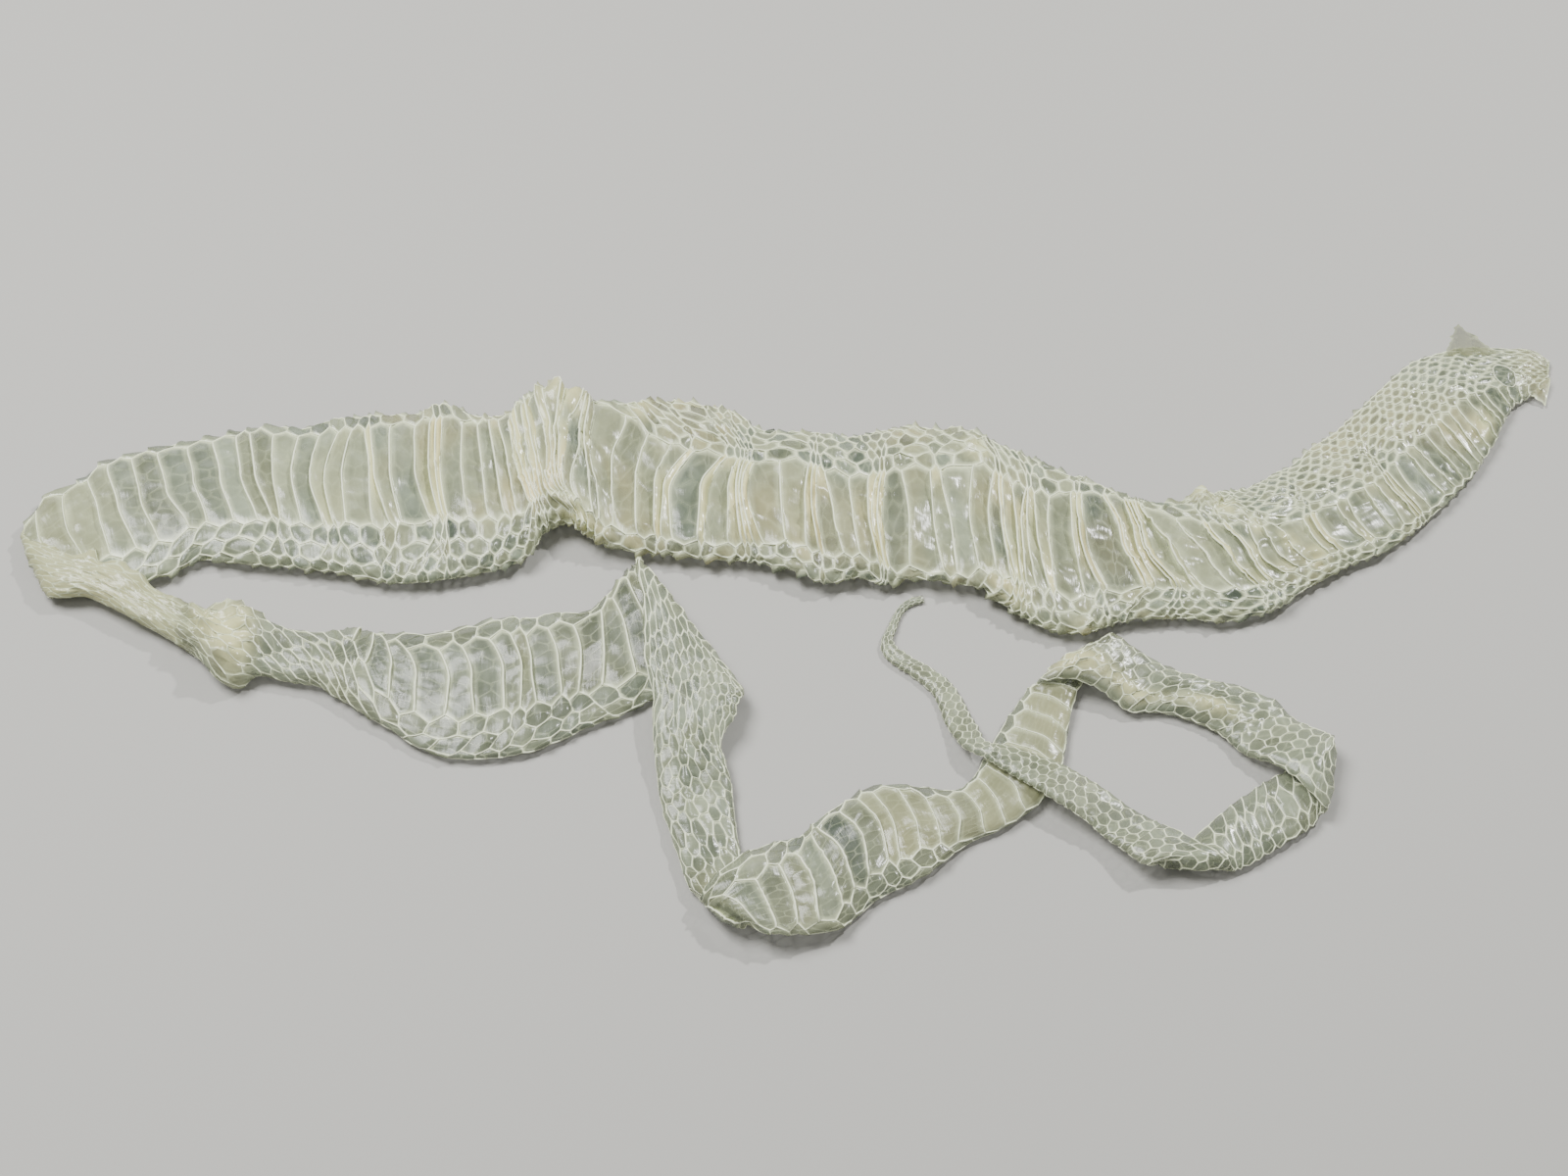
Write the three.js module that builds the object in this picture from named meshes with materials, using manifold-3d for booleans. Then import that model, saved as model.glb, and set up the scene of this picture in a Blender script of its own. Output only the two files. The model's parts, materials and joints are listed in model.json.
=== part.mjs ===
// Shed skin of a slender snake, lying loose on a table as one unbroken tube that has gone flat.
// Millimetres, +Z up. The origin is on the table, under the middle of the skin's box.
//
// A flattened tube is a ribbon, so the skin is described by its two edges. Each stretch between
// two fold-overs is a list of stations, running from the head to the tail, and each station holds
// one point on either edge of the ribbon. A closed skin runs around the sections of a stretch,
// and the stretches are joined into one solid.

import * as THREE from 'three';
import { ConvexGeometry } from 'three/addons/geometries/ConvexGeometry.js';
import { mergeVertices } from 'three/addons/utils/BufferGeometryUtils.js';
import Module from 'manifold-3d';

const wasm = await Module();
wasm.setup();

// --- Driving dimensions ---

const FOLD_LIFT = 3.6;    // height at which an upper layer lies on a lower one at a fold-over
const CROSS_LIFT = 4.6;   // height at which the tail passes over the body without touching it
const BODY_THICK = 8;     // puffed height of the pleated body stretch
const RIBBON_THICK = 4;   // height of the skin where it lies nearly flat
const TAIL_THICK = 2;     // height of the narrow tail

const CREAM = '#d6d4c2';  // colourless keratin film seen in several layers

// Half of a section through the flattened tube, as shares of its half width and of its height.
// The underside is flat, the edges are rolled and the upper side is gently crowned.
const HALF_SECTION = [
  [0.86, 0],
  [0.97, 0.18],
  [1, 0.45],
  [0.9, 0.82],
  [0.5, 1],
];

// --- Stations: first edge x, first edge y, second edge x, second edge y ---

// The first edge is the same edge of the tube from head to tail. Each fold-over turns the tube
// upside down, and so puts that edge on the other hand of someone walking towards the tail.

// Torn mouth at the far right, neck, pleated body and the narrowing left end.
const BODY = {
  overturned: false,
  edges: [
    [219.5, 82.5, 218, 93.5],
    [213.5, 75, 211, 96.5],
    [206.5, 72.5, 198, 97],
    [202, 67.5, 187.5, 95],
    [197.5, 58, 179.5, 90.5],
    [191, 49, 171, 82],
    [181, 39, 162, 74],
    [172, 30, 151.5, 62],
    [162, 22.5, 143, 56],
    [150.5, 17, 134, 48.5],
    [139.5, 10.5, 125, 42.5],
    [128, 2, 119, 43],
    [116, -1.5, 108.5, 39.5],
    [103.5, -1, 99.5, 36.5],
    [90, -0.5, 91, 40.5],
    [80.5, -3.5, 79.5, 46.5],
    [75.5, -6.5, 72.5, 49.5],
    [65, -4.5, 64.5, 54],
    [57, 0.5, 57.5, 58.5],
    [49.5, 9.5, 49, 63],
    [42, 10.5, 39.5, 64],
    [32, 12.5, 30, 66.5],
    [22, 9, 23, 64.5],
    [15.5, 13, 13, 60.5],
    [6.5, 10.5, 5, 61.5],
    [-1, 14.5, -4, 64],
    [-11, 16.5, -12.5, 64],
    [-18, 18, -21, 71],
    [-28.5, 18.5, -29.5, 74],
    [-39.5, 20.5, -41.5, 75],
    [-49, 21.5, -51.5, 73],
    [-56, 23.5, -61, 73.5],
    [-65.5, 30.5, -71.5, 75],
    [-73, 27.5, -81, 72],
    [-76, 18.5, -86.5, 70],
    [-85.5, 14.5, -95, 70],
    [-95.5, 12.5, -104, 73.5],
    [-105.5, 11.5, -111, 69.5],
    [-114.5, 10.5, -122.5, 71],
    [-127, 14, -133, 68],
    [-138, 16, -142.5, 64.5],
    [-145.5, 16.5, -154.5, 66.5],
    [-158.5, 18.5, -165, 63.5],
    [-167, 19.5, -174.5, 61],
    [-174, 14, -185.5, 59],
    [-183, 11.5, -194.5, 55],
    [-189.5, 10, -201.5, 50.5],
    [-197.5, 8.5, -210, 41],
    [-203.5, 7.5, -217, 32],
    [-207.5, 5.5, -220, 27.5],
  ],
  // station, height of the underside, height of the skin above it
  heights: [
    [0, 0, 2.5],
    [4, 0, 5],
    [12, 0, 6.5],
    [18, 0, BODY_THICK],
    [30, 0, BODY_THICK],
    [32, 0, 14],
    [34, 0, BODY_THICK],
    [43, 0, 6],
    [49, 0, RIBBON_THICK],
  ],
};

// Rolled strand from the left fold, through the knot, widening into the second belly stretch.
const RETURN = {
  overturned: true,
  edges: [
    [-207.5, 5.5, -220, 27.5],
    [-203, 5, -212, 23.5],
    [-195.5, 6, -203.5, 19],
    [-186.5, 1.5, -192, 16],
    [-178, -3.5, -181.5, 10.5],
    [-169.5, -8.5, -172.5, 5.5],
    [-162, -14, -164, 0.5],
    [-155.5, -20.5, -155.5, 1.5],
    [-146, -18, -146.5, -1],
    [-137, -21, -138, -5],
    [-129.5, -22, -126.5, -5],
    [-121.5, -27, -117, -5.5],
    [-112.5, -33, -111.5, -5.5],
    [-106, -37, -104.5, -5],
    [-100, -42, -97.5, -4],
    [-89.5, -44.5, -91, -2.5],
    [-82, -44, -82.5, 0],
    [-72, -42.5, -74.5, -0.5],
    [-63, -38, -67, 2],
    [-57, -34, -59, 2],
    [-47, -30.5, -53, 8.5],
    [-39.5, -25.5, -49.5, 15.5],
    [-27.5, -25, -46.5, 17],
    [-15, -25, -44.5, 19],
  ],
  heights: [
    [0, 2, 4],
    [3, 2, 6],
    [5, 0, 6],
    [7, 0, 8],
    [9, 0, 6],
    [14, 0, RIBBON_THICK],
    [23, 0, RIBBON_THICK],
  ],
};

// Strand folded over the end of the belly stretch and running down towards the near edge.
const DESCENT = {
  overturned: false,
  edges: [
    [-15, -25, -44.5, 19],
    [-16, -27.5, -44, 6],
    [-17, -29.5, -43.5, -6.5],
    [-18.5, -34, -42.5, -17],
    [-21, -38, -39.5, -26],
    [-22, -42.5, -40, -35],
    [-20, -48, -39, -44.5],
    [-19, -55, -38, -54],
    [-18, -63.5, -35.5, -62],
    [-17, -70, -33, -69.5],
    [-16, -74.5, -31.5, -75],
    [-15, -82, -30.5, -79.5],
    [-15, -88.5, -28.5, -83.5],
    [-16, -94.5, -27, -86.5],
  ],
  heights: [
    [0, FOLD_LIFT, RIBBON_THICK],
    [4, FOLD_LIFT, RIBBON_THICK],
    [7, 0, RIBBON_THICK],
    [13, 0, RIBBON_THICK],
  ],
};

// Nearest strand: belly side up again, climbing to the right and then away.
const RISE = {
  overturned: true,
  edges: [
    [-16, -94.5, -27, -86.5],
    [-13, -95, -23.5, -82.5],
    [-10.5, -96, -20.5, -78],
    [-6.5, -96.5, -15.5, -74.5],
    [-2, -95.5, -8, -70.5],
    [7, -94.5, -1, -69],
    [12.5, -90, 1.5, -63.5],
    [18.5, -84.5, 7, -58.5],
    [25, -81, 15.5, -53.5],
    [31.5, -76.5, 23.5, -51.5],
    [36, -73, 30, -53.5],
    [42.5, -68, 37, -54],
    [47, -66.5, 41, -53],
    [53, -63, 44.5, -48.5],
    [58.5, -59, 46, -45],
    [64, -53.5, 48, -41.5],
    [67, -46.5, 50.5, -37],
    [68.5, -39.5, 53.5, -32],
    [69.5, -33, 57, -27.5],
    [71, -27, 59.5, -22],
    [74, -19.5, 60, -21.5],
    [80.5, -7, 60.5, -21],
  ],
  heights: [
    [0, FOLD_LIFT, RIBBON_THICK],
    [3, FOLD_LIFT, RIBBON_THICK],
    [6, 0, RIBBON_THICK + 1],
    [10, 0, RIBBON_THICK],
    [21, 0, RIBBON_THICK],
  ],
};

// Back side up: the far limb of the loop on the right.
const LOOP_FAR = {
  overturned: false,
  edges: [
    [80.5, -7, 60.5, -21],
    [81.5, -7, 67, -21.5],
    [84, -8.5, 73, -22.5],
    [89, -12, 79.5, -25],
    [97, -16, 85, -30],
    [107, -19.5, 94, -29.5],
    [115.5, -22, 103.5, -33.5],
    [125, -27.5, 110, -37.5],
    [129.5, -32.5, 114.5, -43],
    [135, -37, 120.5, -46],
    [137, -39.5, 125.5, -51.5],
    [138, -41, 129, -56.5],
    [138.5, -42, 134, -61.5],
  ],
  heights: [
    [0, FOLD_LIFT, RIBBON_THICK],
    [2, FOLD_LIFT, RIBBON_THICK],
    [4, 0, RIBBON_THICK],
    [8, 0, RIBBON_THICK],
    [10, FOLD_LIFT, RIBBON_THICK],
    [12, FOLD_LIFT, RIBBON_THICK],
  ],
};

// Belly side up: the near limb of the loop.
const LOOP_NEAR = {
  overturned: true,
  edges: [
    [138.5, -42, 134, -61.5],
    [130.5, -45, 130.5, -63.5],
    [122, -49, 126.5, -66],
    [117, -52, 119.5, -70],
    [110.5, -57, 114.5, -73.5],
    [104.5, -62, 109, -76.5],
    [99.5, -66, 107.5, -76.5],
    [94.5, -71.5, 107.5, -77],
    [88, -77.5, 107, -77.5],
  ],
  heights: [
    [0, 0, RIBBON_THICK],
    [8, 0, RIBBON_THICK],
  ],
};

// Back side up: the tail folds over the loop, passes above the body and thins to its tip.
const TAIL = {
  overturned: false,
  edges: [
    [88, -77.5, 107, -77.5],
    [86.5, -77.5, 101.5, -72.5],
    [84.5, -77, 96, -69],
    [79.5, -72, 89, -64.5],
    [75.5, -68, 83.5, -60.5],
    [70.5, -64, 77, -55.5],
    [64.5, -59.5, 71.5, -51.5],
    [59.5, -55.5, 66.5, -48],
    [55, -52.5, 60, -45.5],
    [50.5, -49.5, 55, -43],
    [46.5, -46, 48.5, -41.5],
    [41.5, -43, 46.5, -40.5],
    [39.5, -38.5, 45.5, -35],
    [37, -33.5, 44, -30.5],
    [35.5, -28, 42, -25],
    [34.5, -23.5, 39.5, -20],
    [28.5, -17.5, 34, -15],
    [24.5, -14.5, 28.5, -12],
    [20.5, -11, 24.5, -8.5],
    [20, -6.5, 23.5, -6.5],
    [22.5, -2.5, 25, -3.5],
    [24, 2, 26, 1],
    [26.5, 6, 28, 4.5],
    [30, 8, 31, 6],
    [34, 8.5, 34, 6.5],
  ],
  heights: [
    [0, FOLD_LIFT, 3],
    [2, FOLD_LIFT, 3],
    [4, 2.5, TAIL_THICK + 0.5],
    [5, CROSS_LIFT, TAIL_THICK],
    [10, CROSS_LIFT, TAIL_THICK],
    [13, 0, TAIL_THICK],
    [24, 0, 1.5],
  ],
};

// Torn lip that stands up from the far side of the mouth: a thin three-cornered flap, x, y, z.
const LIP_FLAP = [
  [187, 93.5, 2],
  [201, 95.5, 2],
  [190, 97, 12],
  [187, 92, 2.5],
  [201, 93, 2.5],
  [190, 96, 12],
];

// --- From stations to solids ---

// Height of the underside and of the skin at one station, between the stations that state them.
function heightsAt(heights, station) {
  const next = heights.find((row) => row[0] >= station);
  const last = heights[Math.max(heights.indexOf(next) - 1, 0)];
  const share = next === last ? 0 : (station - last[0]) / (next[0] - last[0]);
  const under = THREE.MathUtils.lerp(last[1], next[1], share);
  const thick = THREE.MathUtils.lerp(last[2], next[2], share);
  return { under, thick };
}

// Corners of the section at one station: up the second edge's half and down the first one's.
function sectionAt([firstX, firstY, secondX, secondY], { under, thick }) {
  const firstHalf = HALF_SECTION.map(([across, up]) => [-across, up]).reverse();
  return [...HALF_SECTION, ...firstHalf].map(([across, up]) => {
    const share = (1 + across) / 2;
    const x = THREE.MathUtils.lerp(firstX, secondX, share);
    const y = THREE.MathUtils.lerp(firstY, secondY, share);
    return new THREE.Vector3(x, y, under + up * thick);
  });
}

// A three.js geometry as a solid that can be joined with others.
function solidOf(geometry) {
  geometry.deleteAttribute('normal');
  geometry.deleteAttribute('uv');
  const welded = mergeVertices(geometry);
  const mesh = new wasm.Mesh({
    numProp: 3,
    vertProperties: new Float32Array(welded.getAttribute('position').array),
    triVerts: new Uint32Array(welded.index.array),
  });
  return new wasm.Manifold(mesh);
}

// One closed skin around all the sections of a stretch, with a flat cap at either end.
function stretchGeometry({ overturned, edges, heights }) {
  const sections = edges.map((edge, station) => sectionAt(edge, heightsAt(heights, station)));
  if (!overturned) sections.forEach((section) => section.reverse());
  const corners = sections.flat();
  const around = sections[0].length;
  const triangles = [];
  for (let ring = 1; ring < sections.length; ring += 1) {
    for (let corner = 0; corner < around; corner += 1) {
      const next = (corner + 1) % around;
      const [a, b] = [(ring - 1) * around + corner, (ring - 1) * around + next];
      const [c, d] = [ring * around + next, ring * around + corner];
      triangles.push(a, b, c, a, c, d);
    }
  }
  const lastRing = corners.length - around;
  for (let corner = 1; corner < around - 1; corner += 1) {
    triangles.push(0, corner + 1, corner);
    triangles.push(lastRing, lastRing + corner, lastRing + corner + 1);
  }
  const geometry = new THREE.BufferGeometry().setFromPoints(corners);
  geometry.setIndex(triangles);
  return geometry;
}

// A joined solid as a three.js geometry.
function geometryOf(solid) {
  const { vertProperties, triVerts } = solid.getMesh();
  const geometry = new THREE.BufferGeometry();
  geometry.setAttribute('position', new THREE.BufferAttribute(vertProperties, 3));
  geometry.setIndex(new THREE.BufferAttribute(triVerts, 1));
  geometry.computeVertexNormals();
  return geometry;
}

// --- The shed skin ---

const stretches = [BODY, RETURN, DESCENT, RISE, LOOP_FAR, LOOP_NEAR, TAIL];
const flap = solidOf(new ConvexGeometry(LIP_FLAP.map((corner) => new THREE.Vector3(...corner))));
const whole = stretches
  .map((stretch) => solidOf(stretchGeometry(stretch)))
  .reduce((joined, solid) => joined.add(solid), flap);

const film = new THREE.MeshStandardMaterial({ color: CREAM, roughness: 0.45, metalness: 0 });
const shedSkin = new THREE.Mesh(geometryOf(whole), film);
shedSkin.name = 'shed_skin';

const part = new THREE.Group();
part.add(shedSkin);

export default part;
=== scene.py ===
# %% [markdown]
# # The shed skin of a snake
# A snake sheds the dead outer layer of its skin as one unbroken tube of keratin film. Off the snake
# the tube goes flat, so it lies about like a crumpled ribbon of cellophane, printed all over with
# the scales. This lesson builds it in four steps: the ribbon's course over the table, the pattern
# of scales wrapped round it, the raised hinge skin between the scales, and the finishes.
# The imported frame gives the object's box and its body, so it is loaded first.

# %% Load the frame
import json
import math

import bpy
import numpy as np
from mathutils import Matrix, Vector

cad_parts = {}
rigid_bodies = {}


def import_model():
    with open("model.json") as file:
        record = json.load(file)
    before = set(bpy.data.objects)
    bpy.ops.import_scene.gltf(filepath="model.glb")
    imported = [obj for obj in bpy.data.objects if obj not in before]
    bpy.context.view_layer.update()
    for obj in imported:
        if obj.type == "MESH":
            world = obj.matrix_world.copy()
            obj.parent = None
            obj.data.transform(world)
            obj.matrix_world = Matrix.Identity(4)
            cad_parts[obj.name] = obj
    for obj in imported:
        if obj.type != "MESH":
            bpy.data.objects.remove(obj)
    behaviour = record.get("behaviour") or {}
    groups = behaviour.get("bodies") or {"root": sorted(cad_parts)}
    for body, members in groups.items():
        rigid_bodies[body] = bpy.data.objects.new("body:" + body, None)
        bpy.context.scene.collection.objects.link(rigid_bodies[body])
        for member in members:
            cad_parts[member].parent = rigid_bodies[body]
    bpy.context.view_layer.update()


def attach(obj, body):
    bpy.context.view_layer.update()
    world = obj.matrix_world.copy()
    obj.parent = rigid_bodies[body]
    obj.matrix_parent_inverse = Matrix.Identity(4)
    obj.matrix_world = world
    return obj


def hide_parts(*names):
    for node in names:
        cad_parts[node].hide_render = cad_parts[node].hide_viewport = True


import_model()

# %% [markdown]
# ## Units and chance
# Sizes are written in millimetres and turned to metres once, where the meshes are made.
# One seeded generator makes every random choice, so that each run gives the same skin.

# %% Units and the random generator
MM = 0.001
SEED = 1907
chance = np.random.default_rng(SEED)
print("1 mm is", MM, "m, and every random choice starts from seed", SEED)

# %% [markdown]
# ## The course of the skin
# A flattened tube is a ribbon, and a ribbon is given by its two edges. Each stretch lists stations
# from the head towards the tail: first edge x and y, second edge x and y. At each fold-over the
# ribbon turns upside down, so belly and back take turns to show. For each stretch, a few stations
# also say how high the ribbon lies and how thick it is puffed up, where the belly's two borders are
# on the way round the tube, how many rows of back scales spread over the upper side, and how
# crumpled the film is. On the way round, 0 is the first edge and 0.5 the second one.

# %% Lifts and thicknesses, in mm
FOLD_LIFT = 4.6        # where a fold-over lies on the stretch before it
CROSS_LIFT = 5.0       # where the tail crosses the rise
BODY_THICK = 8.0
RIBBON_THICK = 4.0
TAIL_THICK = 2.0
print("the tube is puffed up to", BODY_THICK, "mm in the body and", TAIL_THICK, "mm in the tail")

# %% Stations of the body
BODY = dict(
    overturned=False,
    edges=[
        (221, 86, 222.8, 92), (215.5, 80, 218, 98), (207, 75.3, 199, 97),
        (202, 67.5, 187.5, 95), (197.5, 58, 179.5, 90.5), (191, 49, 171, 82), (181, 39, 162, 74),
        (172, 30, 151.5, 62), (162, 22.5, 143, 56), (150.5, 17, 134, 48.5), (139.5, 10.5, 125, 42.5),
        (128, 2, 119, 43), (116, -1.5, 108.5, 39.5), (103.5, -1, 99.5, 36.5), (90, -0.5, 91, 40.5),
        (80.5, -3.5, 79.5, 46.5), (75.5, -6.5, 72.5, 49.5), (65, -4.5, 64.5, 54),
        (57, 0.5, 57.5, 58.5), (49.5, 9.5, 49, 63), (42, 10.5, 39.5, 64), (32, 12.5, 30, 66.5),
        (22, 9, 23, 64.5), (15.5, 13, 13, 60.5), (6.5, 10.5, 5, 61.5), (-1, 14.5, -4, 64),
        (-11, 16.5, -12.5, 64), (-18, 18, -21, 71), (-28.5, 18.5, -29.5, 74),
        (-39.5, 20.5, -41.5, 75), (-49, 21.5, -51.5, 73), (-56, 23.5, -61, 73.5),
        (-65.5, 30.5, -71.5, 75), (-73, 27.5, -81, 72), (-76, 18.5, -86.5, 70),
        (-85.5, 14.5, -95, 70), (-95.5, 12.5, -104, 73.5), (-105.5, 11.5, -111, 69.5),
        (-114.5, 10.5, -122.5, 71), (-127, 14, -133, 68), (-138, 16, -142.5, 64.5),
        (-145.5, 16.5, -154.5, 66.5), (-158.5, 18.5, -165, 63.5), (-167, 19.5, -174.5, 61),
        (-174, 14, -185.5, 59), (-183, 11.5, -194.5, 55), (-189.5, 10, -202.5, 52),
        (-193, 9, -203.5, 46), (-198.5, 8.5, -212.5, 42.5), (-203.5, 7.5, -217.5, 34.5),
        (-207.5, 5.5, -220, 27.5),
    ],
    heights=[
        (0, 0, 0.8), (2, 0, 3.5), (4, 0, 5), (12, 0, 6.5), (18, 0, BODY_THICK), (30, 0, BODY_THICK),
        (32, 0, 14), (34, 0, BODY_THICK), (43, 0, 6), (49, 0, RIBBON_THICK),
    ],
    belly=[
        (0, 0.01, 0.09), (1.5, 0.01, 0.12), (3, 0, 0.22), (5, 0.015, 0.245), (8, 0.06, 0.24),
        (10, 0.09, 0.27), (11, 0.1, 0.31), (12, 0.11, 0.37), (13, 0.125, 0.43), (14, 0.1, 0.46),
        (15, 0.11, 0.41), (17, 0.1, 0.37), (18, 0.1, 0.355), (19, 0.05, 0.36), (20, 0.015, 0.32),
        (22, 0.06, 0.32), (24, 0.085, 0.35), (26, 0.08, 0.335), (27, 0.05, 0.31),
        (29, 0.05, 0.305), (30, 0.05, 0.455), (32, 0.075, 0.47), (34, 0.135, 0.45),
        (36, 0.15, 0.43), (37, 0.165, 0.435), (39, 0.135, 0.43), (41, 0.15, 0.45),
        (43, 0.12, 0.455), (49, 0.11, 0.46),
    ],
    rows_seen=[
        (0, 14.0), (4, 18.0), (8, 19.0), (12, 18.0), (15, 15.0), (18, 14.5), (24, 15.0),
        (27, 18.0), (29, 18.0), (31, 14.0), (36, 13.0), (41, 11.5), (49, 10.0),
    ],
    crumple=[
        (0, 0.5), (8, 0.5), (12, 0.9), (18, 1.1), (30, 1.0), (32, 1.7), (34, 1.1), (38, 0.7),
        (41, 0.45), (47, 0.6), (49, 0.7),
    ],
)
print("body:", len(BODY["edges"]), "stations")

# %% Stations of the short strand back
RETURN = dict(
    overturned=True,
    edges=[
        (-207.5, 5.5, -220, 27.5), (-203, 5, -212, 23.5), (-195.5, 6, -203.5, 19),
        (-186.5, 1.5, -192, 16), (-178, -3.5, -181.5, 10.5), (-169.5, -8.5, -172.5, 5.5),
        (-162, -14, -164, 0.5), (-155.5, -20.5, -155.5, 1.5), (-146, -18, -146.5, -1),
        (-137, -21, -138, -5), (-129.5, -22, -126.5, -5), (-121.5, -27, -117, -5.5),
        (-112.5, -33, -111.5, -5.5), (-106, -37, -104.5, -5), (-100, -42, -97.5, -4),
        (-89.5, -44.5, -91, -2.5), (-82, -44, -82.5, 0), (-72, -42.5, -74.5, -0.5),
        (-63, -38, -67, 2), (-57, -34, -59, 2), (-47, -30.5, -53, 8.5),
        (-39.5, -25.5, -49.5, 15.5), (-27.5, -25, -46.5, 17), (-15, -25, -44.5, 19),
    ],
    heights=[
        (0, 2, 4), (3, 2, 6), (5, 0, 6), (7, 0, 8), (9, 0, 6), (14, 0, RIBBON_THICK),
        (23, 0, RIBBON_THICK),
    ],
    belly=[
        (0, 0.1, 0.45), (8, 0.12, 0.44), (9.8, 0.22, 0.46), (10.6, 0.45, 0.55), (11, 0.56, 0.72),
        (11.7, 0.57, 0.86), (12, 0.575, 0.9),
        (13, 0.6, 0.89), (15, 0.6, 0.85), (17, 0.575, 0.84), (19, 0.575, 0.86), (21, 0.54, 0.89),
        (23, 0.52, 0.9),
    ],
    rows_seen=[(0, 12.0), (6, 11.0), (8, 5.5), (12, 6.5), (14, 10.0), (23, 10.5)],
    crumple=[(0, 0.6), (4, 0.6), (7, 1.3), (9, 0.8), (12, 0.45), (19, 0.45), (23, 0.6)],
)
print("strand back:", len(RETURN["edges"]), "stations")

# %% Stations of the descent
DESCENT = dict(
    overturned=False,
    edges=[
        (-15, -25, -44.5, 19), (-16, -27.5, -44, 6), (-17, -29.5, -43.5, -6.5),
        (-18.5, -34, -42.5, -17), (-21, -38, -39.5, -26), (-22, -42.5, -40, -35),
        (-20, -48, -39, -44.5), (-19, -55, -38, -54), (-18, -63.5, -35.5, -62),
        (-17, -70, -33, -69.5), (-16, -74.5, -31.5, -75), (-15, -82, -30.5, -79.5),
        (-15, -88.5, -28.5, -83.5), (-16, -94.5, -27, -86.5),
    ],
    heights=[
        (0, FOLD_LIFT, RIBBON_THICK), (4, FOLD_LIFT, RIBBON_THICK), (7, 0, RIBBON_THICK),
        (13, 0, RIBBON_THICK),
    ],
    belly=[(0, 0.52, 0.92), (4, 0.58, 0.92), (13, 0.55, 0.92)],
    rows_seen=[(0, 17.0), (3, 16.0), (5, 11.0), (7, 7.0), (13, 6.0)],
    crumple=[(0, 0.5), (13, 0.6)],
)
print("descent:", len(DESCENT["edges"]), "stations")

# %% Stations of the rise
RISE = dict(
    overturned=True,
    edges=[
        (-16, -94.5, -27, -86.5), (-13, -95, -23.5, -82.5), (-10.5, -96, -20.5, -78),
        (-6.5, -96.5, -15.5, -74.5), (-2, -95.5, -8, -70.5), (7, -94.5, -1, -69),
        (12.5, -90, 1.5, -63.5), (18.5, -84.5, 7, -58.5), (25, -81, 15.5, -53.5),
        (31.5, -76.5, 23.5, -51.5), (36, -73, 30, -53.5), (42.5, -68, 37, -54), (47, -66.5, 41, -53),
        (53, -63, 44.5, -48.5), (58.5, -59, 46, -45), (64, -53.5, 48, -41.5), (67, -46.5, 50.5, -37),
        (68.5, -39.5, 53.5, -32), (69.5, -33, 57, -27.5), (71, -27, 59.5, -22),
        (74, -19.5, 60, -21.5), (80.5, -7, 60.5, -21),
    ],
    heights=[
        (0, FOLD_LIFT, RIBBON_THICK), (3, FOLD_LIFT, RIBBON_THICK), (6, 0, RIBBON_THICK + 1),
        (10, 0, RIBBON_THICK), (21, 0, RIBBON_THICK),
    ],
    belly=[
        (0, 0.68, 0.97), (4, 0.67, 0.96), (5, 0.53, 0.94), (7, 0.56, 0.88), (9, 0.525, 0.885),
        (10, 0.62, 0.9), (11, 0.58, 1.0), (13, 0.54, 0.98), (15, 0.6, 0.97), (18, 0.58, 0.985),
        (21, 0.53, 0.98),
    ],
    rows_seen=[(0, 5.0), (5, 8.0), (21, 7.0)],
    crumple=[(0, 0.6), (5, 0.8), (9, 0.7), (12, 0.3), (21, 0.4)],
)
print("rise:", len(RISE["edges"]), "stations")

# %% Stations of the loop's far side
LOOP_FAR = dict(
    overturned=False,
    edges=[
        (80.5, -7, 60.5, -21), (81.5, -7, 67, -21.5), (84, -8.5, 73, -22.5), (89, -12, 79.5, -25),
        (97, -16, 85, -30), (107, -19.5, 94, -29.5), (115.5, -22, 103.5, -33.5),
        (125, -27.5, 110, -37.5), (129.5, -32.5, 114.5, -43), (135, -37, 120.5, -46),
        (137, -39.5, 125.5, -51.5), (138, -41, 129, -56.5), (138.5, -42, 134, -61.5),
    ],
    heights=[
        (0, FOLD_LIFT, RIBBON_THICK), (2, FOLD_LIFT, RIBBON_THICK), (4, 0, RIBBON_THICK),
        (8, 0, RIBBON_THICK), (10, FOLD_LIFT, RIBBON_THICK), (12, FOLD_LIFT, RIBBON_THICK),
    ],
    belly=[(0, 0.55, 0.95), (6, 0.56, 0.9), (12, 0.62, 1.0)],
    rows_seen=[(0, 5.4), (12, 5.0)],
    crumple=[(0, 0.5), (4, 0.5), (6, 0.75), (8, 0.4), (12, 0.4)],
)
print("loop's far side:", len(LOOP_FAR["edges"]), "stations")

# %% Stations of the loop's near side
LOOP_NEAR = dict(
    overturned=True,
    edges=[
        (138.5, -42, 134, -61.5), (130.5, -45, 130.5, -63.5), (122, -49, 126.5, -66),
        (117, -52, 119.5, -70), (110.5, -57, 114.5, -73.5), (104.5, -62, 109, -76.5),
        (99.5, -66, 107.5, -76.5), (94.5, -71.5, 107.5, -77), (88, -77.5, 107, -77.5),
    ],
    heights=[(0, 0, RIBBON_THICK), (8, 0, RIBBON_THICK)],
    belly=[(0, 0.64, 1.0), (4, 0.64, 1.02), (8, 0.62, 0.98)],
    rows_seen=[(0, 5.0), (8, 4.6)],
    crumple=[(0, 0.35), (8, 0.35)],
)
print("loop's near side:", len(LOOP_NEAR["edges"]), "stations")

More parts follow.
